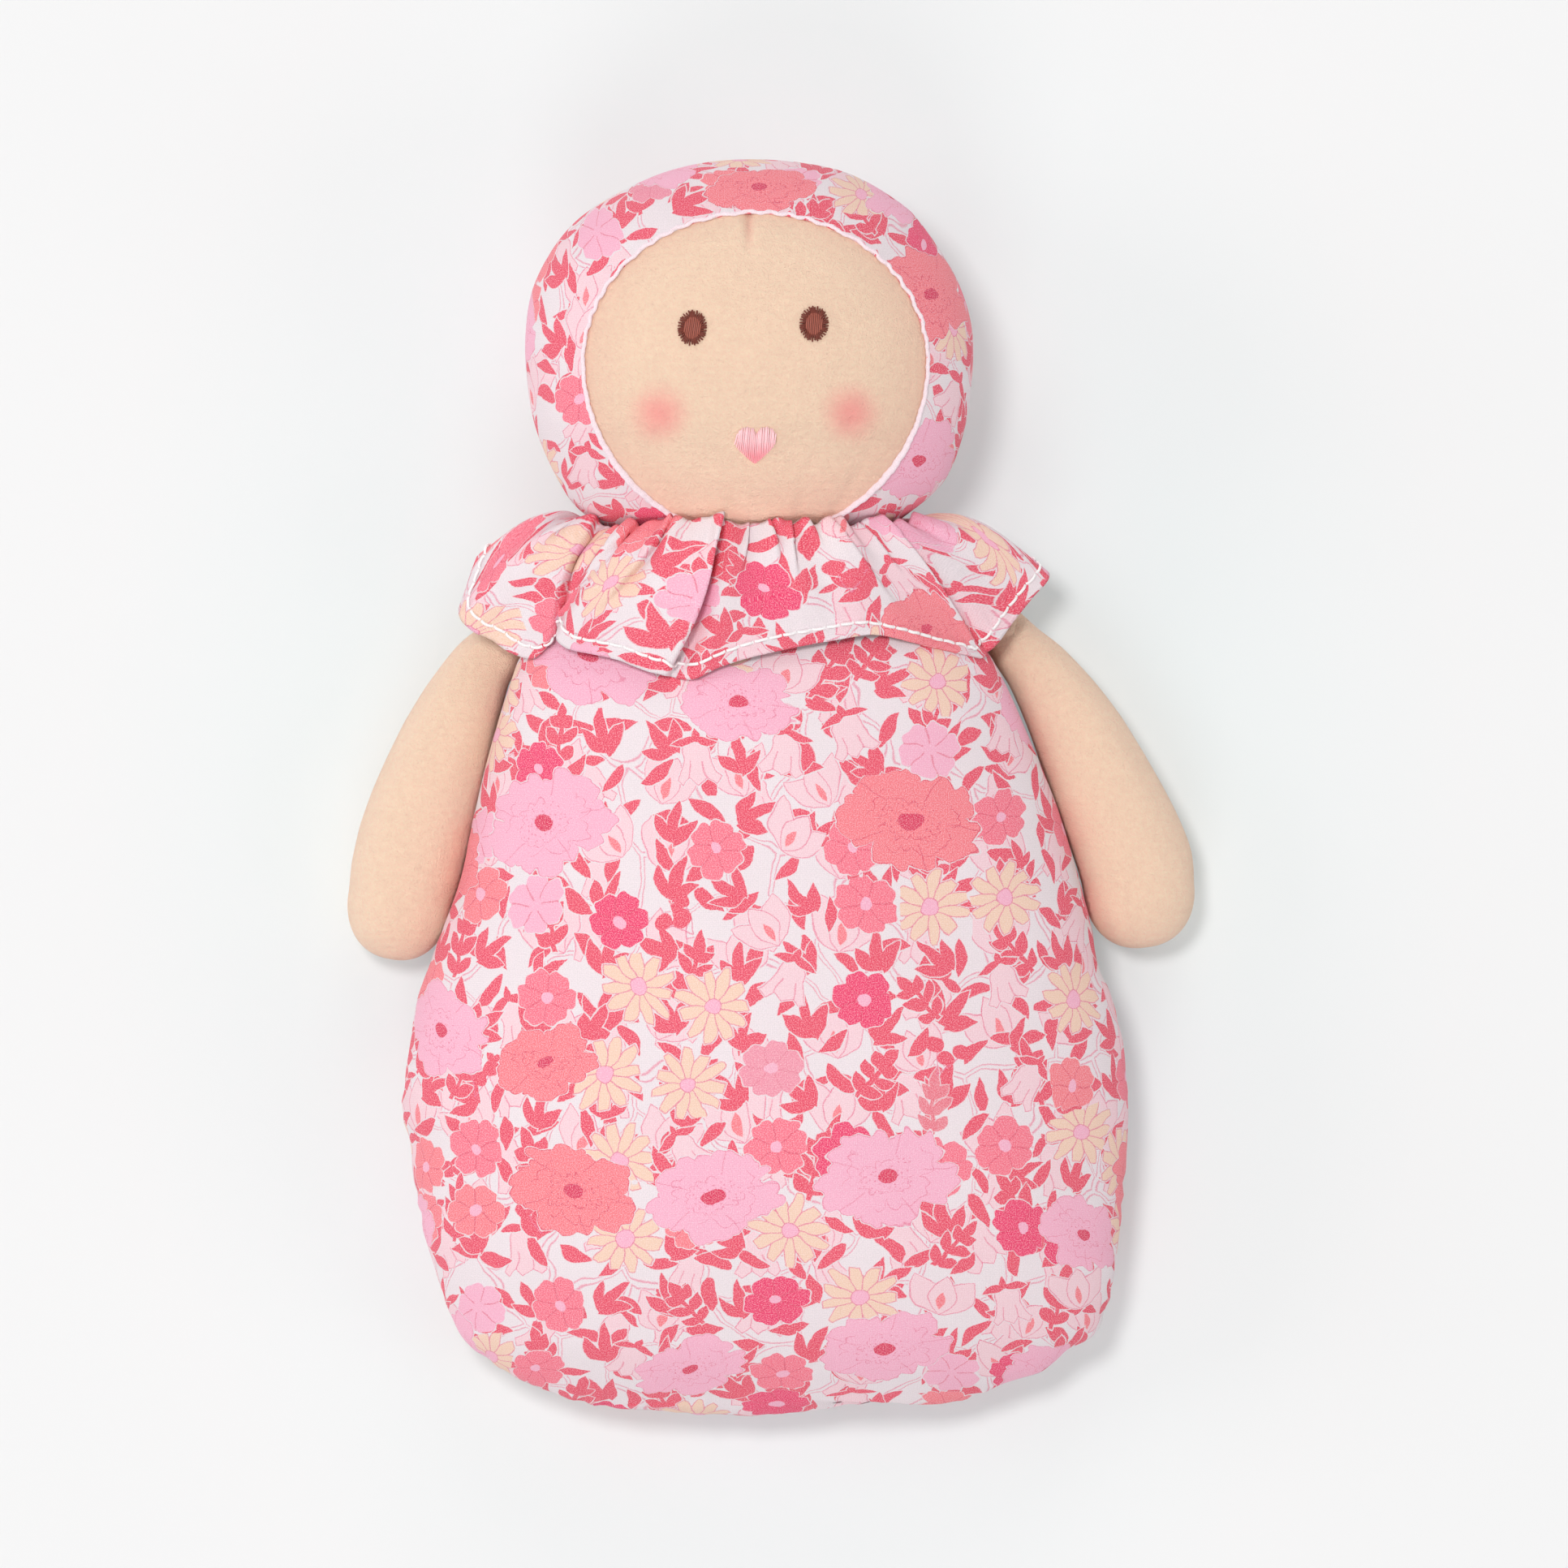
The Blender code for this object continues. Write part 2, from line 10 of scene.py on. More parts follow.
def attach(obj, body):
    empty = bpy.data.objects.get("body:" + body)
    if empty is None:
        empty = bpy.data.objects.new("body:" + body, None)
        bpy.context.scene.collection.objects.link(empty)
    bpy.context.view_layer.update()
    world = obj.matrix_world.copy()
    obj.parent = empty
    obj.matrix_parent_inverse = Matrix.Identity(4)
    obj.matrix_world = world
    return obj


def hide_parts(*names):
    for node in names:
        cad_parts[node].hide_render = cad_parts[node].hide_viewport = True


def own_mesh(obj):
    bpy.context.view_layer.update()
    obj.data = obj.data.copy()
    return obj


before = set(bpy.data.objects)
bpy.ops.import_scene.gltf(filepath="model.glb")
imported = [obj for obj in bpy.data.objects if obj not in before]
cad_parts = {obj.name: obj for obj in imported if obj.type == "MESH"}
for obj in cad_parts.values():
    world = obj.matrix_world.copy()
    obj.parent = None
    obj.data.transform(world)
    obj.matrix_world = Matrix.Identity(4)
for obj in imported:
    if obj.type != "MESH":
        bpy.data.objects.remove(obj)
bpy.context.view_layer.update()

MM = 0.001
UP = (0.0, 0.0, 1.0)
# The photograph looks straight down: this many pixels to a metre, and the pixel over the origin
PIXELS_PER_METRE = 5330
ORIGIN_PX = np.array((952.5, 971.0))
PHOTO_PX = 1932
# The camera is this far up, and the scale above is right at the height of the side seams
CAMERA_HEIGHT = 12.0
SEAM_HEIGHT = 0.025
FACE_HEIGHT = 0.068


def at_pixels(points, height=SEAM_HEIGHT):
    """Places on the plan for pixels of the photograph, seen at a height above the floor."""
    points = np.asarray(points, float)
    nearer = (CAMERA_HEIGHT - height) / (CAMERA_HEIGHT - SEAM_HEIGHT)
    return (points - ORIGIN_PX) * (1, -1) / PIXELS_PER_METRE * nearer


def on_face(points):
    """Places on the plan for pixels on the face."""
    return at_pixels(points, FACE_HEIGHT)


# Outlines in pixels of the photograph, clockwise from the upper left
SACK_OUTLINE_PX = [
    (740, 738), (690, 752), (664, 780), (639, 811), (607, 909), (583, 1005), (566, 1085), (537, 1165),
    (514, 1230), (503, 1300), (495, 1365), (505, 1410), (509, 1450), (525, 1530), (542, 1585), (557, 1628),
    (577, 1656), (621, 1690), (675, 1716), (738, 1733), (800, 1738), (880, 1745), (950, 1744), (1010, 1738),
    (1080, 1728), (1125, 1731), (1180, 1728), (1225, 1711), (1285, 1690), (1315, 1665), (1352, 1640),
    (1370, 1590), (1379, 1530), (1386, 1450), (1391, 1380), (1386, 1300), (1371, 1230), (1354, 1190),
    (1341, 1123), (1306, 1002), (1273, 919), (1235, 833), (1205, 785), (1180, 757), (1130, 738),
    (1040, 712), (925, 703), (810, 712),
]
HEAD_OUTLINE_PX = [
    (924, 197), (828, 210), (742, 250), (694, 290), (659, 350), (648, 410), (650, 470), (661, 530),
    (687, 590), (716, 630), (770, 660), (850, 674), (924, 676), (1000, 674), (1075, 658), (1123, 630),
    (1165, 590), (1188, 530), (1197, 470), (1198, 410), (1181, 350), (1145, 290), (1108, 250), (1032, 210),
]
SACK_MIDDLE_PX = (940, 1300)
HEAD_MIDDLE_PX = (924, 440)
FACE_CENTRE_PX = (931, 445)
FACE_HALF_WIDTH = 211.5 / PIXELS_PER_METRE
FACE_UP = 183 / PIXELS_PER_METRE
FACE_DOWN = 215 / PIXELS_PER_METRE

# Rows of a stuffed form from its foot: share of its length, then the height of its widest line,
# the rise above it and the sink below it, as shares of its depth. They follow the CAD solids.
SACK_DEPTH = 0.0600
SACK_ROWS = [
    (0.000, 0.300, 0.000, 0.000), (0.030, 0.310, 0.210, 0.210), (0.090, 0.320, 0.420, 0.310),
    (0.200, 0.330, 0.590, 0.330), (0.360, 0.333, 0.667, 0.333), (0.510, 0.333, 0.657, 0.333),
    (0.665, 0.340, 0.590, 0.340), (0.800, 0.350, 0.520, 0.350), (0.900, 0.380, 0.420, 0.325),
    (0.940, 0.410, 0.330, 0.270), (0.975, 0.440, 0.200, 0.190), (1.000, 0.475, 0.000, 0.000),
]
HEAD_DEPTH = 0.0720
HEAD_ROWS = [
    (0.000, 0.395, 0.000, 0.000), (0.050, 0.410, 0.210, 0.200), (0.096, 0.430, 0.295, 0.280),
    (0.180, 0.460, 0.380, 0.385), (0.320, 0.490, 0.460, 0.480), (0.500, 0.500, 0.500, 0.500),
    (0.640, 0.500, 0.485, 0.485), (0.765, 0.500, 0.430, 0.430), (0.870, 0.500, 0.345, 0.345),
    (0.950, 0.500, 0.225, 0.225), (1.000, 0.500, 0.000, 0.000),
]
OUTLINE_POINTS = 480
ROW_SAMPLES = 600
RIDGE_SAMPLES = 400
ARC_STEPS = 12
CURVE_STEPS = 24


def curve_between(a, b, c, d, t):
    """A smooth curve from b to c, on its way from a to d."""
    return 0.5 * (2 * b + (c - a) * t + (2 * a - 5 * b + 4 * c - d) * t**2
                  + (3 * b - a - 3 * c + d) * t**3)


def closed_curve(points, count):
    """A smooth closed curve through the points, as evenly spaced places."""
    points = np.asarray(points, float)
    before, after, beyond = (np.roll(points, shift, 0) for shift in (1, -1, -2))
    steps = [curve_between(before, points, after, beyond, t)
             for t in np.linspace(0, 1, CURVE_STEPS, endpoint=False)]
    fine = np.stack(steps, 1).reshape(-1, points.shape[1])
    return evenly(np.vstack([fine, fine[:1]]), count + 1)[:-1]


def open_curve(points, count):
    """A smooth curve through the points, as evenly spaced places."""
    points = np.asarray(points, float)
    padded = np.vstack([2 * points[0] - points[1], points, 2 * points[-1] - points[-2]])
    fine = [curve_between(*padded[k:k + 4], t) for k in range(len(points) - 1)
            for t in np.linspace(0, 1, CURVE_STEPS, endpoint=False)]
    return evenly(np.vstack([fine, points[-1:]]), count)


def lengths_along(points):
    """How far along a line each of its points lies."""
    return np.r_[0, np.cumsum(np.linalg.norm(np.diff(points, axis=0), axis=1))]


def lengths_down(points):
    """How far down its column each point of a grid lies."""
    return np.cumsum(np.linalg.norm(np.diff(points, axis=0, prepend=points[:1]), axis=2), axis=0)


def read_at(where, at, rows):
    """Rows of values, read between their places along a line."""
    return np.stack([np.interp(where, at, column) for column in rows.T], 1)


def evenly(points, count):
    """Places a steady distance apart along a line."""
    length = lengths_along(points)
    return read_at(np.linspace(0, length[-1], count), length, points)


def full_turn(count):
    """Evenly spaced angles once round."""
    return np.arange(count) / count * 2 * np.pi


def soft_step(low, high, value):
    t = np.clip((value - low) / (high - low), 0, 1)
    return t * t * (3 - 2 * t)


def bump(value, middle, width):
    return np.exp(-((value - middle) / width) ** 2)


class Stuffed:
    """A stuffed form sewn from a front and a back: heights over its ground plan."""

    def __init__(self, outline_px, rows, depth, fullness=2.2):
        self.outline = closed_curve(at_pixels(outline_px), OUTLINE_POINTS)
        y = self.outline[:, 1]
        self.foot, self.top_end = y.min(), y.max()
        low, high = int(np.argmin(y)), int(np.argmax(y))
        first = np.roll(self.outline, -low, 0)
        cut = (high - low) % len(y)
        self.left, self.right = sorted((first[:cut + 1], first[cut:][::-1]),
                                       key=lambda chain: chain[:, 0].mean())
        self.depth, self.fullness = depth, fullness
        table = np.array(rows)
        at = (1 - np.cos(np.linspace(0, np.pi, ROW_SAMPLES))) / 2
        self.rows = [at, np.interp(at, table[:, 0], table[:, 1])]
        for column in (2, 3):
            squared = self.smoothed(at, table[:, 0], table[:, column] ** 2)
            self.rows.append(np.sqrt(np.maximum(squared, 0)))

    @staticmethod
    def smoothed(at, x, values):
        """Cubic between the rows, with slopes from their neighbours."""
        slopes = np.gradient(values, x)
        slopes[1:-1] = (values[2:] - values[:-2]) / (x[2:] - x[:-2])
        low = np.clip(np.searchsorted(x, at, "right") - 1, 0, len(x) - 2)
        span = x[low + 1] - x[low]
        t = (at - x[low]) / span
        return (values[low] * (2 * t**3 - 3 * t**2 + 1) + values[low + 1] * (3 * t**2 - 2 * t**3)
                + slopes[low] * span * (t**3 - 2 * t**2 + t) + slopes[low + 1] * span * (t**3 - t**2))

    def row(self, y, column):
        at = (y - self.foot) / (self.top_end - self.foot)
        return np.interp(at, self.rows[0], self.rows[column]) * self.depth

    def sides(self, y):
        left = np.interp(y, self.left[:, 1], self.left[:, 0])
        right = np.interp(y, self.right[:, 1], self.right[:, 0])
        return (left + right) / 2, np.maximum((right - left) / 2, 1e-6)

    def seam(self, y):
        return self.row(y, 1)

    def height(self, x, y, side=1):
        """The cloth's height above the floor, on the front (1) or the back (-1)."""
        middle, half = self.sides(y)
        across = np.clip(np.abs(x - middle) / half, 0, 1)
        lift = np.sqrt(1 - across**self.fullness)
        reach = self.row(y, 2 if side > 0 else 3)
        return np.maximum(self.seam(y) + side * reach * lift, 0)

    def cloth_place(self, x, y, side=1):
        """Where a point lies on the flat cloth: arc lengths across and along, in metres."""
        middle, half = self.sides(y)
        end = np.arcsin(np.clip((x - middle) / half, -1, 1))
        reach = self.row(y, 2 if side > 0 else 3)
        arc = np.zeros_like(end)
        for k in range(ARC_STEPS):
            turn = end * (k + 0.5) / ARC_STEPS
            arc += np.sqrt((half * np.cos(turn)) ** 2 + (reach * np.sin(turn)) ** 2) * end / ARC_STEPS
        line = np.linspace(self.foot, self.top_end, RIDGE_SAMPLES)
        ridge = self.height(self.sides(line)[0], line, side)
        along = np.r_[0, np.cumsum(np.hypot(np.diff(line), np.diff(ridge)))]
        return middle + arc, np.interp(y, line, along)


sack_form = Stuffed(SACK_OUTLINE_PX, SACK_ROWS, SACK_DEPTH)
head_form = Stuffed(HEAD_OUTLINE_PX, HEAD_ROWS, HEAD_DEPTH)


def build(name, points, faces, cloth=None):
    """A smooth mesh piece; cloth gives each face corner's place on the flat cloth."""
    mesh = bpy.data.meshes.new(name)
    mesh.from_pydata([tuple(p) for p in points], [], faces)
    if cloth is not None:
        layer = mesh.uv_layers.new(name="cloth")
        layer.data.foreach_set("uv", np.asarray(cloth, np.float32).ravel())
    mesh.shade_smooth()
    mesh.update()
    made = bpy.data.objects.new(name, mesh)
    bpy.context.scene.collection.objects.link(made)
    return made


def grid_faces(rows, columns):
    """Quads over a grid of points, row after row, closed round."""
    i, j = np.meshgrid(np.arange(rows - 1), np.arange(columns), indexing="ij")
    after = (j + 1) % columns
    quads = np.stack([i * columns + j, i * columns + after,
                      (i + 1) * columns + after, (i + 1) * columns + j], -1)
    return quads.reshape(-1, 4).tolist()


def grid_cloth(cloth):
    """The face corners' places for grid_faces, from a grid with its first column repeated."""
    corners = np.stack([cloth[:-1, :-1], cloth[:-1, 1:], cloth[1:, 1:], cloth[1:, :-1]], 2)
    return corners.reshape(-1, 2)


def turned_over(faces, corners, sides):
    """Faces and their corners' places on the cloth, facing the other way."""
    corners = np.asarray(corners).reshape(-1, sides, 2)[:, ::-1].reshape(-1, 2)
    return [face[::-1] for face in faces], corners


def disc(name, points, cloth, outward=1):
    """A closed-round grid whose first row is drawn in to a middle point."""
    rows, columns = points.shape[:2]
    quads, corners = grid_faces(rows, columns), grid_cloth(cloth)
    fans = [[rows * columns, (j + 1) % columns, j] for j in range(columns)]
    flat_middle = cloth[0, :-1].mean(0)
    fan_cloth = [c for j in range(columns) for c in (flat_middle, cloth[0, j + 1], cloth[0, j])]
    if outward > 0:
        quads, corners = turned_over(quads, corners, 4)
        fans, fan_cloth = turned_over(fans, fan_cloth, 3)
    return build(name, np.vstack([points.reshape(-1, 3), points[0].mean(0)]), quads + fans,
                 np.vstack([corners, fan_cloth]))


def limb(name, rings, outward=1):
    """A closed piece of rings of points, its first and last ring filled."""
    points = np.array(rings)
    made = disc(name, points, np.zeros((len(points), points.shape[1] + 1, 2)), outward)
    bm = bmesh.new()
    bm.from_mesh(made.data)
    bmesh.ops.contextual_create(bm, geom=[edge for edge in bm.edges if edge.is_boundary])
    bmesh.ops.recalc_face_normals(bm, faces=bm.faces)
    bm.to_mesh(made.data)
    bm.free()
    made.data.shade_smooth()
    return made


def thicken(item, thickness, offset):
    """Gives a cloth its thickness, inwards for an offset of -1 and to both sides for 0."""
    shell = item.modifiers.new("cloth", "SOLIDIFY")
    shell.thickness, shell.offset = thickness, offset
    return shell


def closed(values):
    """A grid's columns with the first one repeated at the end."""
    return np.concatenate([values, values[:, :1]], 1)


def tree_of(item):
    """The surface of a piece, for keeping others off it."""
    bpy.context.view_layer.update()
    return BVHTree.FromObject(item, bpy.context.evaluated_depsgraph_get())


def push_out(points, tree, gap):
    """Points moved out of a closed surface, to at least a gap from it."""
    moved = points.reshape(-1, 3).copy()
    for k, p in enumerate(moved):
        place, normal, _, _ = tree.find_nearest(Vector(p))
        if (Vector(p) - place).dot(normal) < gap:
            moved[k] = place + normal * gap
    return moved.reshape(points.shape)


def tube(points, wide, high, ups=UP, sides=6, close=False):
    """Points and faces of a flattened tube along a line; wide and high are half sizes."""
    points = np.asarray(points, float)
    if close:
        along = np.roll(points, -1, 0) - np.roll(points, 1, 0)
    else:
        along = np.gradient(points, axis=0)
    across = np.cross(along, ups)
    across /= np.linalg.norm(across, axis=1)[:, None]
    up = np.cross(across, along)
    up /= np.linalg.norm(up, axis=1)[:, None]
    turns = full_turn(sides)
    wide, high = (np.broadcast_to(size, len(points))[:, None, None] for size in (wide, high))
    ring = (across[:, None] * np.cos(turns)[None, :, None] * wide
            + up[:, None] * np.sin(turns)[None, :, None] * high)
    grid = points[:, None] + ring
    last = (len(points) - 1) * sides
    faces = grid_faces(len(points), sides)
    if close:
        faces += [[last + j, last + (j + 1) % sides, (j + 1) % sides, j] for j in range(sides)]
    else:
        faces += [list(range(sides)), [last + j for j in reversed(range(sides))]]
    return grid.reshape(-1, 3), [face[::-1] for face in faces]


def bundle(name, tubes):
    """Many tubes as one piece."""
    points, faces, start = [], [], 0
    for tube_points, tube_faces in tubes:
        points.append(tube_points)
        faces += [[v + start for v in face] for face in tube_faces]
        start += len(tube_points)
    return build(name, np.vstack(points), faces)


def srgb(red, green, blue):
    """A colour as seen, 0 to 255, as the shader's linear values."""
    return tuple(((c / 255 + 0.055) / 1.055) ** 2.4 if c > 10 else c / 255 / 12.92
                 for c in (red, green, blue)) + (1.0,)


class Field:
    """A number that varies over a surface; arithmetic on it adds nodes to its shader."""

    def __init__(self, tree, socket):
        self.tree, self.socket = tree, socket

    def op(self, operation, *others, clamp=False):
        node = self.tree.nodes.new("ShaderNodeMath")
        node.operation, node.use_clamp = operation, clamp
        for slot, value in zip(node.inputs, (self, *others)):
            if isinstance(value, Field):
                self.tree.links.new(value.socket, slot)
            else:
                slot.default_value = value
        return Field(self.tree, node.outputs[0])

    def __add__(self, other):
        return self.op("ADD", other)

    def __sub__(self, other):
        return self.op("SUBTRACT", other)

    def __mul__(self, other):
        return self.op("MULTIPLY", other)

    def __truediv__(self, other):
        return self.op("DIVIDE", other)

    def __pow__(self, other):
        return self.op("POWER", other)

    __radd__, __rmul__ = __add__, __mul__

    def __neg__(self):
        return self.op("MULTIPLY", -1.0)

    def __rsub__(self, other):
        return -self + other

    def size(self):
        return self.op("ABSOLUTE")

    def cos(self):
        return self.op("COSINE")

    def sin(self):
        return self.op("SINE")

    def root(self):
        return self.op("SQRT")

    def most(self, other):
        return self.op("MAXIMUM", other)

    def least(self, other):
        return self.op("MINIMUM", other)

    def mask(self, edge=0.10):
        """1 inside, 0 outside, for a distance in millimetres that is above 0 inside."""
        return self.op("MULTIPLY_ADD", 0.5 / edge, 0.5, clamp=True)
    def clamped(self):
        """The value kept between 0 and 1."""
        return self.op("MAXIMUM", 0.0, clamp=True)


class Shader:
    """A cloth material being made: its nodes, and the colour painted so far."""

    def __init__(self, name, roughness, sheen=0.0, sheen_roughness=0.5):
        self.material = bpy.data.materials.new(name)
        self.material.use_nodes = True
        self.tree = self.material.node_tree
        self.surface = self.tree.nodes["Principled BSDF"]
        self.surface.inputs["Roughness"].default_value = roughness
        self.surface.inputs["Specular IOR Level"].default_value = 0.25
        self.surface.inputs["Sheen Weight"].default_value = sheen
        self.surface.inputs["Sheen Roughness"].default_value = sheen_roughness
        self.paint = None

    def node(self, kind, inputs=None, **settings):
        """A node with its settings, and values, fields or sockets for its inputs."""
        made = self.tree.nodes.new(kind)
        for name, value in settings.items():
            setattr(made, name, value)
        for name, value in (inputs or {}).items():
            socket = made.inputs[name]
            if isinstance(value, Field):
                self.tree.links.new(value.socket, socket)
            elif isinstance(value, bpy.types.NodeSocket):
                self.tree.links.new(value, socket)
            else:
                socket.default_value = value
        return made

    def vector(self, operation, *inputs):
        """The first output of some vector arithmetic."""
        return self.node("ShaderNodeVectorMath", dict(enumerate(inputs)), operation=operation).outputs[0]

    def field(self, socket):
        return Field(self.tree, socket)

    def cloth(self):
        """The place on the flat cloth, in millimetres."""
        return self.vector("MULTIPLY", self.node("ShaderNodeUVMap", uv_map="cloth").outputs[0], (1000.0,) * 3)

    def place(self):
        """The place on the piece itself, in millimetres."""
        return self.vector("MULTIPLY", self.node("ShaderNodeTexCoord").outputs["Object"], (1000.0,) * 3)

    def parts(self, vector):
        node = self.node("ShaderNodeSeparateXYZ", {0: vector})
        return [self.field(socket) for socket in node.outputs]

    def noise(self, vector, size, detail=2.0, roughness=0.5, flat=False):
        """Soft noise from 0 to 1, its lumps about a size in millimetres."""
        node = self.node("ShaderNodeTexNoise", {"Vector": vector, "Scale": 1.0 / size, "Detail": detail,
                                               "Roughness": roughness},
                         noise_dimensions="2D" if flat else "3D")
        return self.field(node.outputs[0])

    def cells(self, vector, size, loose, feature="F1"):
        """Random cells of a size in millimetres, on an even grid where they aren't loose."""
        return self.node("ShaderNodeTexVoronoi", {"Vector": vector, "Scale": 1.0 / size, "Randomness": loose},
                         voronoi_dimensions="2D", feature=feature)

    def over(self, colour, mask=1.0):
        """Paints a colour, or a socket's colour, over what is there."""
        if self.paint is None:
            self.paint = colour
            return
        node = self.node("ShaderNodeMix", {0: mask, 6: self.paint, 7: colour}, data_type="RGBA")
        self.paint = node.outputs[2]

    def brighten(self, factor):
        """Multiplies the paint by a field about 1."""
        paint = self.paint if isinstance(self.paint, bpy.types.NodeSocket) else self.paint[:3]
        node = self.node("ShaderNodeVectorMath", {0: paint, "Scale": factor}, operation="SCALE")
        self.paint = node.outputs[0]

    def finish(self, height, distance, strength):
        """Puts the paint and a bumpy height on the surface."""
        self.tree.links.new(self.paint, self.surface.inputs["Base Color"])
        node = self.node("ShaderNodeBump", {"Height": height, "Strength": strength, "Distance": distance})
        self.tree.links.new(node.outputs[0], self.surface.inputs["Normal"])
        return self.material


# Ink colours of the print, as seen
GROUND = srgb(240, 227, 231)
LINE = srgb(236, 118, 152)
HOT_PINK = srgb(244, 62, 112)
CORAL = srgb(252, 129, 139)
RASPBERRY = srgb(252, 120, 141)
CRIMSON = srgb(240, 78, 104)
DEEP = srgb(228, 54, 94)
MID_PINK = srgb(251, 180, 205)
PALE_PINK = srgb(249, 210, 218)
PEACH = srgb(248, 210, 187)
# Half the width of the print's lines, the clear ground left round a motif, and its room's margin
LINE_WIDTH = 0.27
HALO = 0.27
ROOM_MARGIN = 0.35
# The cells that the stems follow and those of the poppies' freckles, in millimetres
STEM_CELL, FRECKLE_CELL = 17.0, 1.3


def shifted(shader, vector, offset):
    return shader.vector("ADD", vector, offset)


def wandering(shader, vector, size, reach):
    """The same places, each moved a little by soft noise."""
    noise = shader.node("ShaderNodeTexNoise", {"Vector": vector, "Scale": 1.0 / size, "Detail": 1.0},
                        noise_dimensions="2D").outputs[1]
    centred = shifted(shader, noise, (-0.5, -0.5, 0.0))
    return shader.vector("MULTIPLY_ADD", centred, (2 * reach, 2 * reach, 0.0), vector)


class Scatter:
    """Scattered motifs: local places round the nearest one, its random lots and the room it has."""

    def __init__(self, shader, cloth, cell, seed, loose=0.5, tilt=math.pi, vary=0.2, squeeze=0.0):
        self.shader = shader
        place = shifted(shader, cloth, (seed * 37.7, seed * 91.3, 0.0))
        cells = shader.cells(place, cell, loose)
        edges = shader.cells(place, cell, loose, "DISTANCE_TO_EDGE")
        self.room = shader.field(edges.outputs[0]) * cell - ROOM_MARGIN
        local = shader.vector("SUBTRACT", place, cells.outputs["Position"])
        colours = shader.node("ShaderNodeSeparateColor", {0: cells.outputs["Color"]}).outputs[:3]
        self.lots = [shader.field(socket) for socket in colours]
        turned = shader.node("ShaderNodeVectorRotate",
                             {"Vector": local, "Angle": (self.lots[0] - 0.5) * (2 * tilt)},
                             rotation_type="Z_AXIS").outputs[0]
        across, up, _ = shader.parts(turned)
        self.size = self.lots[1] * vary + (1 - vary / 2)
        self.across = across / self.size
        self.up = up / (self.size * (1 - squeeze * self.lots[1]))
        self.pick = None

    def choose(self, low, high):
        """Paints only the motifs whose third lot falls in a range."""
        self.pick = (self.lots[2] - low).least(high - self.lots[2]).mask(0.001)

    def fill(self, colour, shape, *masks, strength=1.0):
        mask = shape.least(self.room).mask()
        for other in masks:
            mask = mask * other.mask()
        if self.pick is not None:
            mask = mask * self.pick
        self.shader.over(colour, mask * strength)

    def clear(self, shape):
        """Keeps other motifs a little away from this one."""
        self.fill(GROUND, shape + HALO)

    def outline(self, colour, shape, *masks, strength=0.8):
        self.fill(colour, LINE_WIDTH - shape, shape, *masks, strength=strength)

    def polar(self):
        r = (self.across * self.across + self.up * self.up).root()
        return r, self.up.op("ARCTAN2", self.across)


def leaf(across, up, half_length, half_width):
    """An almond lying along the across direction."""
    along = across / half_length
    return (1 - along * along) * half_width - up.size()


def turned_by(across, up, angle):
    """A place seen in axes turned by an angle."""
    c, s = math.cos(angle), math.sin(angle)
    return across * c + up * s, up * c - across * s


def leaflets(across, up, reaches, spread, width):
    """Almond leaflets that spread upwards from one point."""
    shape = None
    for k, reach in enumerate(reaches):
        x, y = turned_by(across, up, (k - (len(reaches) - 1) / 2) * spread + math.pi / 2)
        one = leaf(x - reach / 2, y + (x - reach / 2) ** 2.0 * 0.03, reach / 2, width)
        shape = one if shape is None else shape.most(one)
    return shape


def round_petals(turn, count, low, power):
    """The edge's share of the radius, 1 at each round petal's middle."""
    return (turn * (count / 2)).cos().size() ** power * (1 - low) + low


def ray_distance(r, turn, count):
    """How far a place is, sideways, from the nearest of evenly turned rays."""
    return (turn * (count / (2 * math.pi))).op("PINGPONG", 0.5) * r * (2 * math.pi / count)


def paint_stems(shader, cloth):
    """Thin double lines that wander between the motifs."""
    cells = shader.cells(wandering(shader, cloth, 22.0, 8.0), STEM_CELL, 0.9, "DISTANCE_TO_EDGE")
    apart = (shader.field(cells.outputs[0]) * STEM_CELL - 0.55).size()
    shader.over(LINE, (LINE_WIDTH * 0.6 - apart).mask() * 0.7)


def paint_leaves(shader, cloth, cell, seed, reaches, spread, width, **settings):
    """A scattered layer of almond leaves or small fans of leaflets."""
    spot = Scatter(shader, cloth, cell, seed, **settings)
    shape = leaflets(spot.across, spot.up + max(reaches) / 2, reaches, spread, width)
    spot.clear(shape)
    spot.fill(CRIMSON, shape)


def paint_sprig(spot):
    """A long spray: leaflets on both sides of a stalk, and one at its end."""
    x, y = spot.across.size(), spot.up + 8.0
    shape = leaf(y - 13.2, x, 3.4, 1.5)
    for height, reach in ((1.0, 5.4), (5.0, 6.4), (9.0, 5.0)):
        side_x, side_y = turned_by(x, y - height, 0.78)
        shape = shape.most(leaf(side_x - reach / 2, side_y, reach / 2, 1.45))
    shape = shape.most((0.55 - x).least(y).least(12.0 - y))
    spot.clear(shape)
    spot.fill(CRIMSON, shape)


def paint_berries(spot):
    """Three round berries on forked stalks."""
    x, y = spot.across, spot.up
    stalks = (0.16 - (x.size() - (y + 5.0) * 0.42).size()).least(2.0 - y).least(y + 5.0)
    spot.fill(LINE, stalks, strength=0.8)
    for middle_x, middle_y in ((-3.4, 3.0), (3.2, 3.6), (0.1, 0.2)):
        spot.fill(CRIMSON, 2.15 - ((x - middle_x) ** 2.0 + (y - middle_y) ** 2.0).root())


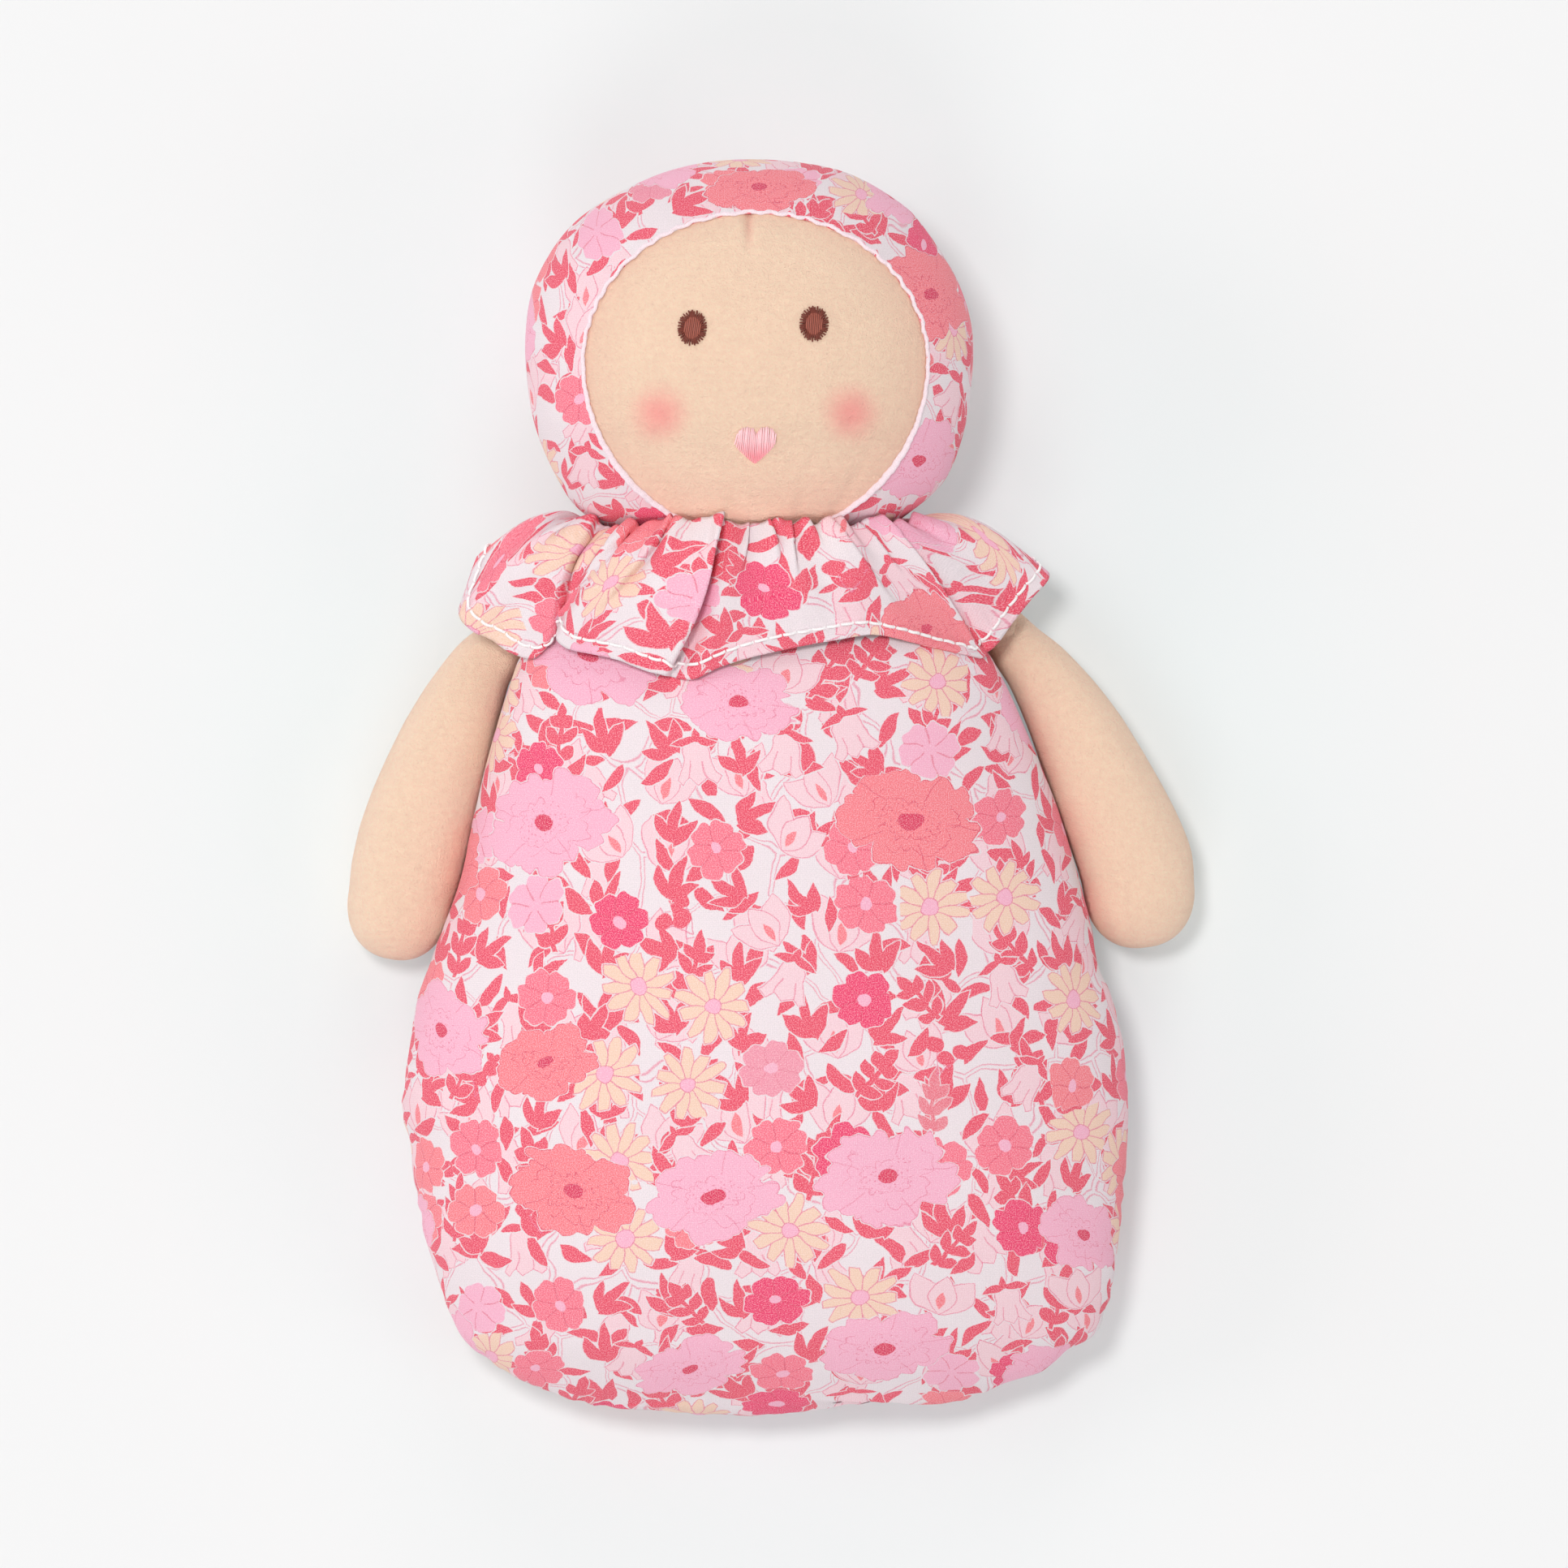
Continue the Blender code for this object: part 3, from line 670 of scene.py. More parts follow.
def paint_bell(spot):
    """A hanging pale cup with three pointed lips under a leafy calyx."""
    x, y = spot.across.size(), spot.up - 0.6
    flare = (1.5 - y).most(0.0)
    width = 3.3 + flare * flare * 0.05 - (y - 2.0).most(0.0) ** 2.0 * 0.20
    between = x.op("PINGPONG", 1.9)
    cup = (width - x).least(y + 6.4 - between * 0.9).least(5.6 - y)
    spot.clear(cup)
    spot.fill(PALE_PINK, cup)
    spot.outline(LINE, cup)
    spot.fill(LINE, (0.16 - (x - 1.9 + (y + 4.0) * 0.12).size()).least(-0.5 - y), cup, strength=0.7)
    calyx = leaf(x - 2.3, y - 5.6 + x * 0.25, 3.2, 1.1).most(leaf(y - 6.6, x, 1.8, 0.9))
    spot.clear(calyx)
    spot.fill(CRIMSON, calyx)


def paint_tulip(spot):
    """A pale open cup of three petals with a coral heart."""
    x, y = spot.across.size(), spot.up + 6.4
    side_x, side_y = turned_by(x, y, -0.56)
    side = leaf(side_y - 6.6, side_x, 6.8, 3.3)
    middle = leaf(y - 5.8, x, 6.0, 3.4)
    cup = side.most(middle)
    spot.clear(cup)
    spot.fill(PALE_PINK, cup)
    spot.outline(LINE, cup)
    spot.outline(LINE, middle)
    spot.fill(CORAL, leaf(y - 4.0, x, 2.7, 1.05))


def paint_star(spot, radius=10.0):
    """Peach flower of eleven narrow petals round a pink eye."""
    r, turn = spot.polar()
    count = 11
    width = (r / radius * math.pi * 0.93).sin().most(0.0) ** 0.55 * 1.75
    reach = radius * 0.95 + (turn * 4 + spot.lots[0] * 9.0).sin() * (radius * 0.07)
    petals = (width - ray_distance(r, turn, count)).least(reach - r)
    spot.clear(petals)
    spot.fill(PEACH, petals)
    spot.outline(LINE, petals, r - 1.6)
    spot.fill(LINE, 0.15 - ray_distance(r, turn + math.pi / count, count), petals, strength=0.8)
    spot.fill(LINE, 2.25 - r)
    spot.fill(MID_PINK, 2.05 - r)


def paint_blossom(spot, ink, radius=7.6, count=6):
    """A round flower of scalloped petals with thin creases between them."""
    r, turn = spot.polar()
    edge = (round_petals(turn, count, 0.78, 0.45) - (turn * (count * 2)).cos() * 0.03) * radius
    spot.clear(edge - r)
    spot.fill(ink, edge - r)
    spot.fill(DEEP, 0.16 - ray_distance(r, turn + math.pi / count, count), r - 1.4, radius * 0.82 - r,
              strength=0.55)
    spot.fill(MID_PINK, 1.45 - r)


def paint_poppies(shader, cloth, cell, seed, radius):
    """Large low-set flowers of broad ruffled petals, in mid pink or coral."""
    spot = Scatter(shader, cloth, cell, seed, loose=0.45, tilt=0.5, vary=0.35)
    ruffled = (shader.noise(cloth, 5.0, detail=1.0, flat=True) - 0.5) * 5.0
    spot.up = spot.up * 1.5
    r, turn = spot.polar()
    scallops = (turn * 8 + ruffled * 0.5).cos().size() * 1.1
    r = r + ruffled - scallops
    shape = round_petals(turn + 0.4, 5, 0.74, 0.5) * radius - r
    for low, high, ink, line in ((-0.1, 0.40, MID_PINK, LINE), (0.40, 0.62, CORAL, DEEP)):
        spot.choose(low, high)
        spot.clear(shape)
        spot.fill(ink, shape)
        spot.outline(line, shape, strength=0.7)
        for share, shift, count in ((0.66, 1.0, 4), (0.38, 2.2, 3)):
            ring = (round_petals(turn + shift, count, 0.78, 0.5) * (radius * share) - r).size()
            spot.fill(line, 0.15 - ring, (turn * 1.5 + shift).cos() + 0.45, strength=0.65)
        spot.fill(line, 0.13 - ray_distance(r, turn, 5), r - radius * 0.45, shape, strength=0.6)
        freckles = shader.field(shader.cells(cloth, FRECKLE_CELL, 0.9).outputs[0])
        spot.fill(line, 0.2 - freckles * FRECKLE_CELL, radius * 0.36 - r, strength=0.7)
        spot.fill(DEEP, 2.3 - spot.polar()[0])


def printed_cotton():
    """Fine woven cotton with a dense print of small generic flowers."""
    shader = Shader("printed_cotton", 0.85, sheen=0.08, sheen_roughness=0.4)
    plain = shader.cloth()
    cloth = wandering(shader, wandering(shader, plain, 0.8, 0.14), 7.0, 1.1)
    shader.over(GROUND)
    paint_stems(shader, cloth)
    for cell, seed, paint in ((18.5, 11, paint_bell), (21.0, 12, paint_tulip)):
        spot = Scatter(shader, cloth, cell, seed, loose=0.5, tilt=0.6, vary=0.25)
        spot.choose(0.0, 0.7)
        paint(spot)
    paint_leaves(shader, cloth, 10.2, 1, (9.2,), 0.0, 1.6)
    paint_leaves(shader, cloth, 16.0, 2, (8.2, 11.0, 8.6), 0.66, 1.5, tilt=1.2)
    sprays = Scatter(shader, cloth, 29.0, 7, loose=0.7, tilt=0.9, vary=0.3)
    sprays.choose(0.0, 0.6)
    paint_sprig(sprays)
    bed = Scatter(shader, cloth, 18.4, 3, loose=0.46, tilt=0.8, squeeze=0.24)
    for low, high, paint, inks in ((-0.1, 0.06, paint_sprig, ()), (0.08, 0.29, paint_star, ()),
                                   (0.29, 0.38, paint_tulip, ()), (0.38, 0.50, paint_bell, ()),
                                   (0.50, 0.66, paint_blossom, (RASPBERRY,)),
                                   (0.66, 0.77, paint_blossom, (CORAL,)),
                                   (0.77, 0.86, paint_blossom, (HOT_PINK,)),
                                   (0.86, 0.91, paint_blossom, (MID_PINK,)),
                                   (0.96, 1.1, paint_berries, ())):
        bed.choose(low, high)
        paint(bed, *inks)
    paint_poppies(shader, cloth, 40.0, 9, 14.5)
    speckle = shader.noise(plain, 0.27, detail=1.0, flat=True)
    warp, weft, _ = shader.parts(plain)
    wobble = shader.noise(plain, 2.5, flat=True)
    threads = ((warp * 20.0 + wobble * 6.0).sin() + (weft * 20.0 + wobble * 5.0).sin()) * 0.5
    shader.over(GROUND, ((speckle - 0.42) * 1.2).clamped())
    shader.brighten((speckle - 0.5) * 0.26 + threads * 0.06 + 0.985)
    return shader.finish(threads * 0.5 + speckle, distance=0.00012, strength=0.5)


# Places on the face in pixels of the photograph, and sizes of the velour in millimetres
CHEEKS_PX = [(812, 510), (1049, 509)]
MOUTH_PX = (930, 547)
PINCH_SHADE_PX = (923, 280)
CHEEK_RADIUS_MM = 9.0
RIB_PITCH_MM = 1.65


def paint_blush_and_shade(shader, x, y, patches, wobble):
    """The face's colours: airbrushed blush on the cheeks, a pinker and darker tint towards the chin, and
    painted shade round its edge and in its pinch; gives back how near the chin is.
    """
    face_x, face_y = on_face(FACE_CENTRE_PX) / MM
    off_x, off_y = (x - face_x) / (FACE_HALF_WIDTH / MM), (y - face_y) / (FACE_DOWN / MM)
    # Painted shade: a pinkish darkening round the face's edge, where the bonnet's edge shades the velour
    rim = ((off_x * off_x + off_y * off_y).root() - 0.72 + (patches - 0.5) * 0.25) * 2.6
    shader.over(srgb(238, 170, 152), rim.clamped() * 0.34)
    # Pinker and darker towards the chin; velour() also uses this share for painted light on the chin
    chin = ((-off_y - 0.45) * 1.6).clamped()
    shader.over(srgb(244, 178, 160), chin * 0.34)
    for cheek_x, cheek_y in on_face(CHEEKS_PX) / MM:
        off = ((x - cheek_x) ** 2.0 + (y - cheek_y) ** 2.0).root() + (wobble - 0.5) * 1.6
        glow = (1 - off / CHEEK_RADIUS_MM).clamped()
        shader.over(srgb(255, 132, 136), (glow * glow * (3 - glow * 2.0)) * 0.66)
    # Painted shade in the crease of the pinch at the top of the face
    pinch_x, pinch_y = on_face(PINCH_SHADE_PX) / MM
    pinch = 1 - ((x - pinch_x) ** 2.0 * 0.5 + (y - pinch_y) ** 2.0 * 0.028).root()
    shader.over(srgb(236, 160, 146), pinch.clamped() * 0.4)
    return chin


def velour(name, blush_shade_and_light=False):
    """Knitted plush: a soft nap over faint ribs; on the face, airbrushed blush on the cheeks, a pinker tint
    towards the chin, painted shade round its edge and in its pinch, and painted light on the chin.
    """
    shader = Shader(name, 0.95, sheen=0.30, sheen_roughness=0.6)
    place = shader.place()
    x, y, _ = shader.parts(place)
    shader.over(srgb(250, 215, 187))
    nap = shader.noise(place, 0.55, detail=3.0, roughness=0.75)
    patches = shader.noise(place, 8.0, detail=2.0)
    wobble = shader.noise(place, 4.0)
    rib_share = (patches - 0.35).op("MULTIPLY", 3.0, clamp=True)
    ribs = (y * (2 * math.pi / RIB_PITCH_MM) + wobble * 2.0).sin() * rib_share
    chin = paint_blush_and_shade(shader, x, y, patches, wobble) if blush_shade_and_light else 0.0
    fibres = shader.noise(place, 0.22, detail=1.0)
    mottle = shader.noise(place, 1.5, detail=2.0)
    # chin * 0.22 is painted light: it brightens the lower face, which curves away from the lamps and lies in
    # the collar's shade
    shader.brighten((nap - 0.5) * 0.36 + (fibres - 0.5) * 0.2 + (mottle - 0.5) * 0.20
                    + (patches - 0.5) * 0.05 + ribs * 0.010 + 1.09 + chin * 0.22)
    return shader.finish(nap + fibres * 0.4 + mottle * 0.5 + ribs * 0.08, distance=0.0009, strength=0.75)


def thread(name, colour, sheen=0.3, roughness=0.45, painted_shade=None, bright=1.0):
    """Twisted embroidery thread, painted darker towards the mouth's point if a shaded colour is given:
    painted shade where the heart's lower half turns away.
    """
    shader = Shader(name, roughness, sheen=sheen)
    place = shader.place()
    shader.over(colour)
    if painted_shade:
        _, mouth_y = on_face(MOUTH_PX) / MM
        _, y, _ = shader.parts(place)
        # Painted shade: the heart's lower half darker, as if turned away from the light
        shader.over(painted_shade, ((mouth_y - y) * 0.28 + 0.15).clamped())
    twist = shader.noise(place, 0.25, detail=2.0)
    shader.brighten((twist - 0.5) * 0.5 + bright)
    return shader.finish(twist, distance=0.0001, strength=0.4)


cotton = printed_cotton()
plush = velour("velour")
face_plush = velour("face_velour", blush_shade_and_light=True)
brown_thread = thread("brown_thread", srgb(176, 98, 82), sheen=0.1, roughness=0.35)
dark_thread = thread("dark_thread", srgb(126, 62, 50), sheen=0.05, roughness=0.3)
pink_thread = thread("pink_thread", srgb(255, 206, 210), sheen=0.4, painted_shade=srgb(255, 160, 170), bright=1.12)
white_thread = thread("white_thread", srgb(252, 248, 248))
binding_cloth = thread("binding", srgb(246, 226, 233), sheen=0.2, roughness=0.7)


def dress(item, material, body, slot, *nodes):
    """The piece's material, its body, its slot (not used), and the CAD nodes that it stands for."""
    item.data.materials.clear()
    item.data.materials.append(material)
    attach(item, body)
    if nodes:
        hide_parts(*nodes)
    return item


def seam_puckers(arc, to_seam, pitch, reach):
    """Small ripples that run in from a seam, uneven in size."""
    uneven = 0.6 + 0.4 * np.sin(arc / (pitch * 3.7) * 2 * np.pi + 1.3)
    wave = np.sin(arc / pitch * 2 * np.pi + 1.9 * np.sin(arc / (pitch * 2.6) * 2 * np.pi))
    return wave * uneven * np.exp(-to_seam / reach)


# Where each piece lies on the printed cloth, in metres, so that no two show the same flowers
CLOTH_SHIFTS = {"body_front": (0, 0), "body_back": (0.31, 0.17), "bonnet_front": (0.27, 0.63),
                "bonnet_back": (0.83, 0.41), "collar": (1.103, 0.631)}
# The first row of a panel lies this share of the way out from its middle
INNERMOST = 0.02


def panel(form, side, middle_px, rows):
    """Half of a sewn cover, from its middle out: its places, and how far they lie round and from the seam."""
    around = closed_curve(form.outline, OUTLINE_POINTS)
    middle = at_pixels(middle_px)
    share = np.sin(np.linspace(INNERMOST, 1, rows) * np.pi / 2)
    plan = middle + (around[None] - middle) * share[:, None, None]
    z = form.height(plan[..., 0], plan[..., 1], side)
    z[-1] = form.seam(plan[-1, :, 1])
    to_seam = np.linalg.norm(plan[-1][None] - plan, axis=2) + np.abs(z - z[-1][None])
    return plan, z, lengths_along(around)[None], to_seam


def flat_cloth(form, plan, side, piece):
    """The places of a closed-round grid on the form's flat cloth."""
    return closed(np.stack(form.cloth_place(plan[..., 0], plan[..., 1], side), -1)) + CLOTH_SHIFTS[piece]


# The folds of the body's panels die away this far from the seam, which is drawn in by the groove
SACK_FOLD_FADE = 0.03
SEAM_GROOVE, SEAM_GROOVE_WIDTH = 0.0007, 0.0012


def make_sack():
    """The stuffed body: a front and a back panel joined in a puckered side seam."""
    pieces = []
    for side, name in ((1, "body_front"), (-1, "body_back")):
        plan, z, arc, to_seam = panel(sack_form, side, SACK_MIDDLE_PX, 100)
        x, y = plan[..., 0], plan[..., 1]
        lower = soft_step(-0.02, -0.10, y)
        ripple = seam_puckers(arc, to_seam, 0.0085, 0.0075) * (0.15 + 0.85 * lower)
        broad = (np.sin(x * 95 + 2.1 * np.sin(y * 41)) * np.sin(y * 70 + 1.0)
                 + 0.6 * np.sin(x * 160 + y * 88 + 0.7))
        fade = soft_step(0, SACK_FOLD_FADE, to_seam)
        groove = SEAM_GROOVE * np.exp(-(to_seam / SEAM_GROOVE_WIDTH) ** 2)
        z = np.maximum(z + side * (ripple * 0.0009 + broad * 0.00035 * fade), 0.0)
        outward = plan - np.array([sack_form.sides(y)[0].mean(), -0.045])
        outward /= np.linalg.norm(outward, axis=2)[..., None]
        points = np.dstack([plan + (ripple * 0.0004 - groove)[..., None] * outward, z])
        points[-1, :, 2] = sack_form.seam(y[-1])
        pieces.append(disc(name, points, flat_cloth(sack_form, plan, side, name), side))
    dress(pieces[0], cotton, "torso", "printed_cotton", "body_front_panel", "body_stuffing")
    dress(pieces[1], cotton, "torso", "printed_cotton", "body_back_panel")
    return pieces


FACE_INSET = 0.0008
FACE_PINCH_PX = (923, 270)
# Folds that run up from the collar: their middles in pixels, and their lean
CHIN_FOLDS_PX = [(1042, 606, 0.6), (985, 628, 0.2), (905, 632, -0.1), (840, 618, -0.5)]
CHIN_PX = (931, 648)
CHIN_PRESSED = 0.0026
CHIN_REACH = (0.0115, 0.0045)


def face_height(x, y):
    """The velour's height, a little under the bonnet, with its pinches."""
    z = head_form.height(x, y) - FACE_INSET
    pinch_x, pinch_y = on_face(FACE_PINCH_PX)
    pinch = bump(x, pinch_x, 0.0011) * bump(y, pinch_y, 0.0062)
    beside = bump(x, pinch_x - 0.0030, 0.0022) + bump(x, pinch_x + 0.0030, 0.0022)
    z = z - 0.0011 * pinch + 0.0003 * (beside * bump(y, pinch_y, 0.006))
    for px, py, lean in CHIN_FOLDS_PX:
        fold_x, fold_y = on_face((px, py))
        across = (x - fold_x) - (y - fold_y) * lean
        z = z - 0.0006 * bump(across, 0, 0.0016) * bump(y, fold_y, 0.0075)
    # The chin presses against the collar, so it stays fuller there
    chin_x, chin_y = on_face(CHIN_PX)
    return z + CHIN_PRESSED * bump(x, chin_x, CHIN_REACH[0]) * bump(y, chin_y, CHIN_REACH[1])


def from_the_right(around, middle):
    """An outline anticlockwise round a middle, from the point on its right."""
    start = np.argmin(np.linalg.norm(around - (middle + (0.06, 0)), axis=1))
    around = np.roll(around, -start, 0)
    if np.cross(around[1] - middle, around[30] - middle) < 0:
        around = np.roll(around[::-1], 1, 0)
    return around


def face_opening(around, middle):
    """The bonnet's edge round the face, in line with each point of the head's outline."""
    turn = np.arctan2(around[:, 1] - middle[1], around[:, 0] - middle[0])
    tall = np.where(turn > 0, FACE_UP, FACE_DOWN)
    reach = 1 / np.sqrt((np.cos(turn) / FACE_HALF_WIDTH) ** 2 + (np.sin(turn) / tall) ** 2)
    return middle + np.stack([np.cos(turn), np.sin(turn)], 1) * reach[:, None]


def make_head_skin(around, middle):
    """The velour head, a little inside its bonnet."""
    inner = middle + (around - middle) * 0.975
    share = np.sin(np.linspace(INNERMOST, 1, 90) * np.pi / 2)
    plan = middle + (inner[None] - middle) * share[:, None, None]
    x, y = plan[..., 0], plan[..., 1]
    front = face_height(x, y)
    back = head_form.height(x, y, -1) + FACE_INSET
    front[-1] = back[-1] = head_form.seam(y[-1])
    points = np.concatenate([np.dstack([plan, front]), np.dstack([plan, back])[::-1][1:]])
    cloth = closed(plan)
    skin = disc("head_skin_cover", points, np.concatenate([cloth, cloth[::-1][1:]]))
    dress(skin, face_plush, "head", "velour", "head_skin", "head_stuffing")
    return skin


BONNET_ROWS = 56
BONNET_SEAM_PITCH, BONNET_SEAM_REACH = 0.0080, 0.0060


def make_bonnet_front(around, middle):
    """The bonnet's front, gathered to its edge round the face and puckered at its seam."""
    opening = face_opening(around, middle)
    share = np.sin(np.linspace(0, 1, BONNET_ROWS) * np.pi / 2)[:, None, None]
    plan = opening[None] + (around - opening)[None] * share
    z = head_form.height(plan[..., 0], plan[..., 1])
    z[-1] = head_form.seam(plan[-1, :, 1])
    points = np.dstack([plan, z])
    arc, to_edge = lengths_along(opening)[None], lengths_down(points)
    to_seam = to_edge[-1][None] - to_edge
    gather = seam_puckers(arc, to_edge, 0.0062, 0.0035) * 0.00028
    gather += seam_puckers(arc * 1.3 + 0.01, to_seam, BONNET_SEAM_PITCH, BONNET_SEAM_REACH) * 0.00035
    broad = np.sin(arc * 150 + 1.0) * np.sin(to_edge * 120 + 0.5) * 0.00022
    points[..., 2] += gather + broad * soft_step(0, 0.006, to_edge)
    cloth = flat_cloth(head_form, plan, 1, "bonnet_front")
    faces, corners = turned_over(grid_faces(BONNET_ROWS, len(opening)), grid_cloth(cloth), 4)
    bonnet = build("bonnet_front_cover", points.reshape(-1, 3), faces, corners)
    thicken(bonnet, 0.0006, -1)
    dress(bonnet, cotton, "head", "printed_cotton", "bonnet_front")


def make_bonnet_back():
    """The bonnet's back, a panel puckered at its seam."""
    plan, z, arc, to_seam = panel(head_form, -1, HEAD_MIDDLE_PX, 60)
    puckers = seam_puckers(arc, to_seam, BONNET_SEAM_PITCH, BONNET_SEAM_REACH)
    z = np.maximum(z - puckers * 0.0004 * (to_seam > 0), 0)
    cloth = flat_cloth(head_form, plan, -1, "bonnet_back")
    back = disc("bonnet_back_cover", np.dstack([plan, z]), cloth, -1)
    dress(back, cotton, "head", "printed_cotton", "bonnet_back")


def make_head():
    """The velour head inside its bonnet, which is open round the face."""
    middle = on_face(FACE_CENTRE_PX)
    around = from_the_right(head_form.outline, middle)
    skin = make_head_skin(around, middle)
    make_bonnet_front(around, middle)
    make_bonnet_back()
    return skin


# The binding: half its width and height, and the degrees round the face where it is wider
BINDING_WIDE, BINDING_HIGH, BINDING_WIDER = 0.00046, 0.00040, 0.00034
BINDING_WIDER_AT = (222, 318)


def make_binding():
    """The bonnet's bound edge, slightly wavy, lying on the velour."""
    turn = full_turn(900)
    middle = on_face(FACE_CENTRE_PX)
    tall = np.where(np.sin(turn) > 0, FACE_UP, FACE_DOWN)
    plan = middle + np.stack([(FACE_HALF_WIDTH + 0.0001) * np.cos(turn), (tall + 0.0001) * np.sin(turn)], 1)
    wave = 0.00022 * np.sin(turn * 47 + 1.4 * np.sin(turn * 9)) * (0.35 + 0.65 * (np.sin(turn) > 0.2))
    outward = (plan - middle) / np.linalg.norm(plan - middle, axis=1)[:, None]
    plan = plan + outward * wave[:, None]
    z = head_form.height(plan[:, 0], plan[:, 1]) + 0.00005
    pulled = 0.00006 * np.sin(turn * 131 + np.sin(turn * 17))
    wider = sum(bump(turn, math.radians(angle), 0.42) for angle in BINDING_WIDER_AT)
    wide = BINDING_WIDE + pulled + BINDING_WIDER * wider
    points, faces = tube(np.column_stack([plan, z]), wide, BINDING_HIGH + pulled, sides=10, close=True)
    dress(build("bonnet_edge_binding", points, faces), binding_cloth, "head", "binding", "bonnet_piping")


def hump(share):
    """The height of a stitch along its length, 1 in the middle."""
    return np.sqrt(np.maximum(1 - (2 * share - 1) ** 2, 0))


def stitch(start, end, lift, radius, rise, steps=7):
    """One satin stitch over the velour, from one place to another, humped in the middle."""
    t = np.linspace(0, 1, steps)
    plan = np.outer(1 - t, start) + np.outer(t, end)
    z = face_height(plan[:, 0], plan[:, 1]) + lift + rise * hump(t) - radius * 0.8 * (1 - hump(t))
    return tube(np.column_stack([plan, z]), radius, radius)


def underlay(outline, lift):
    """A padded bed of thread under satin stitches, inside an outline on the face."""
    middle = outline.mean(0)
    count = len(outline)
    plan = np.vstack([outline, middle + (outline - middle) * 0.6, middle[None]])
    z = face_height(plan[:, 0], plan[:, 1]) + lift
    z[:count] -= lift * 1.5
    z[-1] += lift * 0.4
    faces = [[k, (k + 1) % count, (k + 1) % count + count, k + count] for k in range(count)]
    faces += [[k + count, (k + 1) % count + count, 2 * count] for k in range(count)]
    return np.column_stack([plan, z]), faces

# Half sizes of an eye, and the shares of it that its middle stitches and its rim take
EYE_HALF_WIDTH = 17.6 / PIXELS_PER_METRE
EYE_HALF_HEIGHT = 21 / PIXELS_PER_METRE
EYE_STITCHES, RIM_STITCHES = 9, 40
EYE_HEART = (0.58, 0.68)
STITCH_RADIUS, RIM_RADIUS = 0.00017, 0.00019
STITCH_RISE = 0.00034


def make_eye(name, centre_px, tilt):
    """An oval of upright satin stitches inside a rim of short radial ones."""
    middle = on_face(centre_px)
    up = np.array((math.sin(tilt), math.cos(tilt))) * EYE_HALF_HEIGHT
    side = np.array((math.cos(tilt), -math.sin(tilt))) * EYE_HALF_WIDTH
    turns = full_turn(32)
    oval = middle + 0.9 * (np.outer(np.cos(turns), side) + np.outer(np.sin(turns), up))
    threads = []
    for k in range(EYE_STITCHES):
        u = (k + 0.5) / EYE_STITCHES * 2 - 1
        tall = math.sqrt(1 - u * u)
        uneven = 0.03 * math.sin(k * 2.7)
        foot = middle + side * u * EYE_HEART[0] - up * (tall + uneven) * EYE_HEART[1]
        head = middle + side * (u + 0.06) * EYE_HEART[0] + up * (tall - uneven) * EYE_HEART[1]
        threads.append(stitch(foot, head, 0.00044 + 0.00006 * math.sin(k * 4.1), STITCH_RADIUS, STITCH_RISE))
    ring = [underlay(middle + (oval - middle) * 1.06, 0.00030)]
    for k in range(RIM_STITCHES):
        a = 2 * math.pi * k / RIM_STITCHES + 0.04 * math.sin(k * 5.1)
        inner = side * math.cos(a) + up * math.sin(a)
        outer = side * math.cos(a + 0.12) + up * math.sin(a + 0.12)
        long = 1.0 + 0.04 * math.sin(k * 3.3)
        ring.append(stitch(middle + inner * EYE_HEART[0], middle + outer * long, 0.00036,
                           RIM_RADIUS, 0.00022, 5))
    dress(bundle(name + "_rim", ring), dark_thread, "head", "brown_thread", name)
    dress(bundle(name + "_stitches", threads), brown_thread, "head", "brown_thread")


MOUTH_HALF_WIDTH = 26 / PIXELS_PER_METRE
MOUTH_HEIGHT = 41 / PIXELS_PER_METRE
MOUTH_STITCHES = 23
# The heart from its notch round the right lobe to its point, as shares of its half width and its height
HALF_HEART = [(0, 0.31), (0.22, 0.46), (0.52, 0.50), (0.83, 0.40), (0.99, 0.15), (0.88, -0.05), (0.60, -0.25),
              (0.30, -0.42), (0.09, -0.53), (0, -0.57)]


def make_mouth():
    """A heart of upright satin stitches, longest in each lobe."""
    middle = on_face(MOUTH_PX)
    half = np.array(HALF_HEART)
    across, tall = closed_curve(np.vstack([half, half[-2:0:-1] * (-1, 1)]), 400).T
    heart = np.column_stack([across * MOUTH_HALF_WIDTH, tall * MOUTH_HEIGHT])
    threads = [underlay(middle + heart[::8] * 0.93, 0.00022)]
    for k in range(MOUTH_STITCHES):
        u = (k + 0.5) / MOUTH_STITCHES * 2 - 1
        near = np.abs(across - u) < 0.04
        high, low = tall[near].max(), tall[near].min()
        slant = 0.10 + 0.02 * math.sin(k * 1.7)
        foot = middle + (u * MOUTH_HALF_WIDTH * 0.98, low * MOUTH_HEIGHT)
        head = middle + ((u + slant) * MOUTH_HALF_WIDTH * 0.95,
                         (high + 0.015 * math.sin(k * 2.3)) * MOUTH_HEIGHT)
        threads.append(stitch(foot, head, 0.00034 + 0.00006 * math.sin(k * 4.3), 0.00018, STITCH_RISE))
    dress(bundle("mouth_stitches", threads), pink_thread, "head", "pink_thread", "mouth")


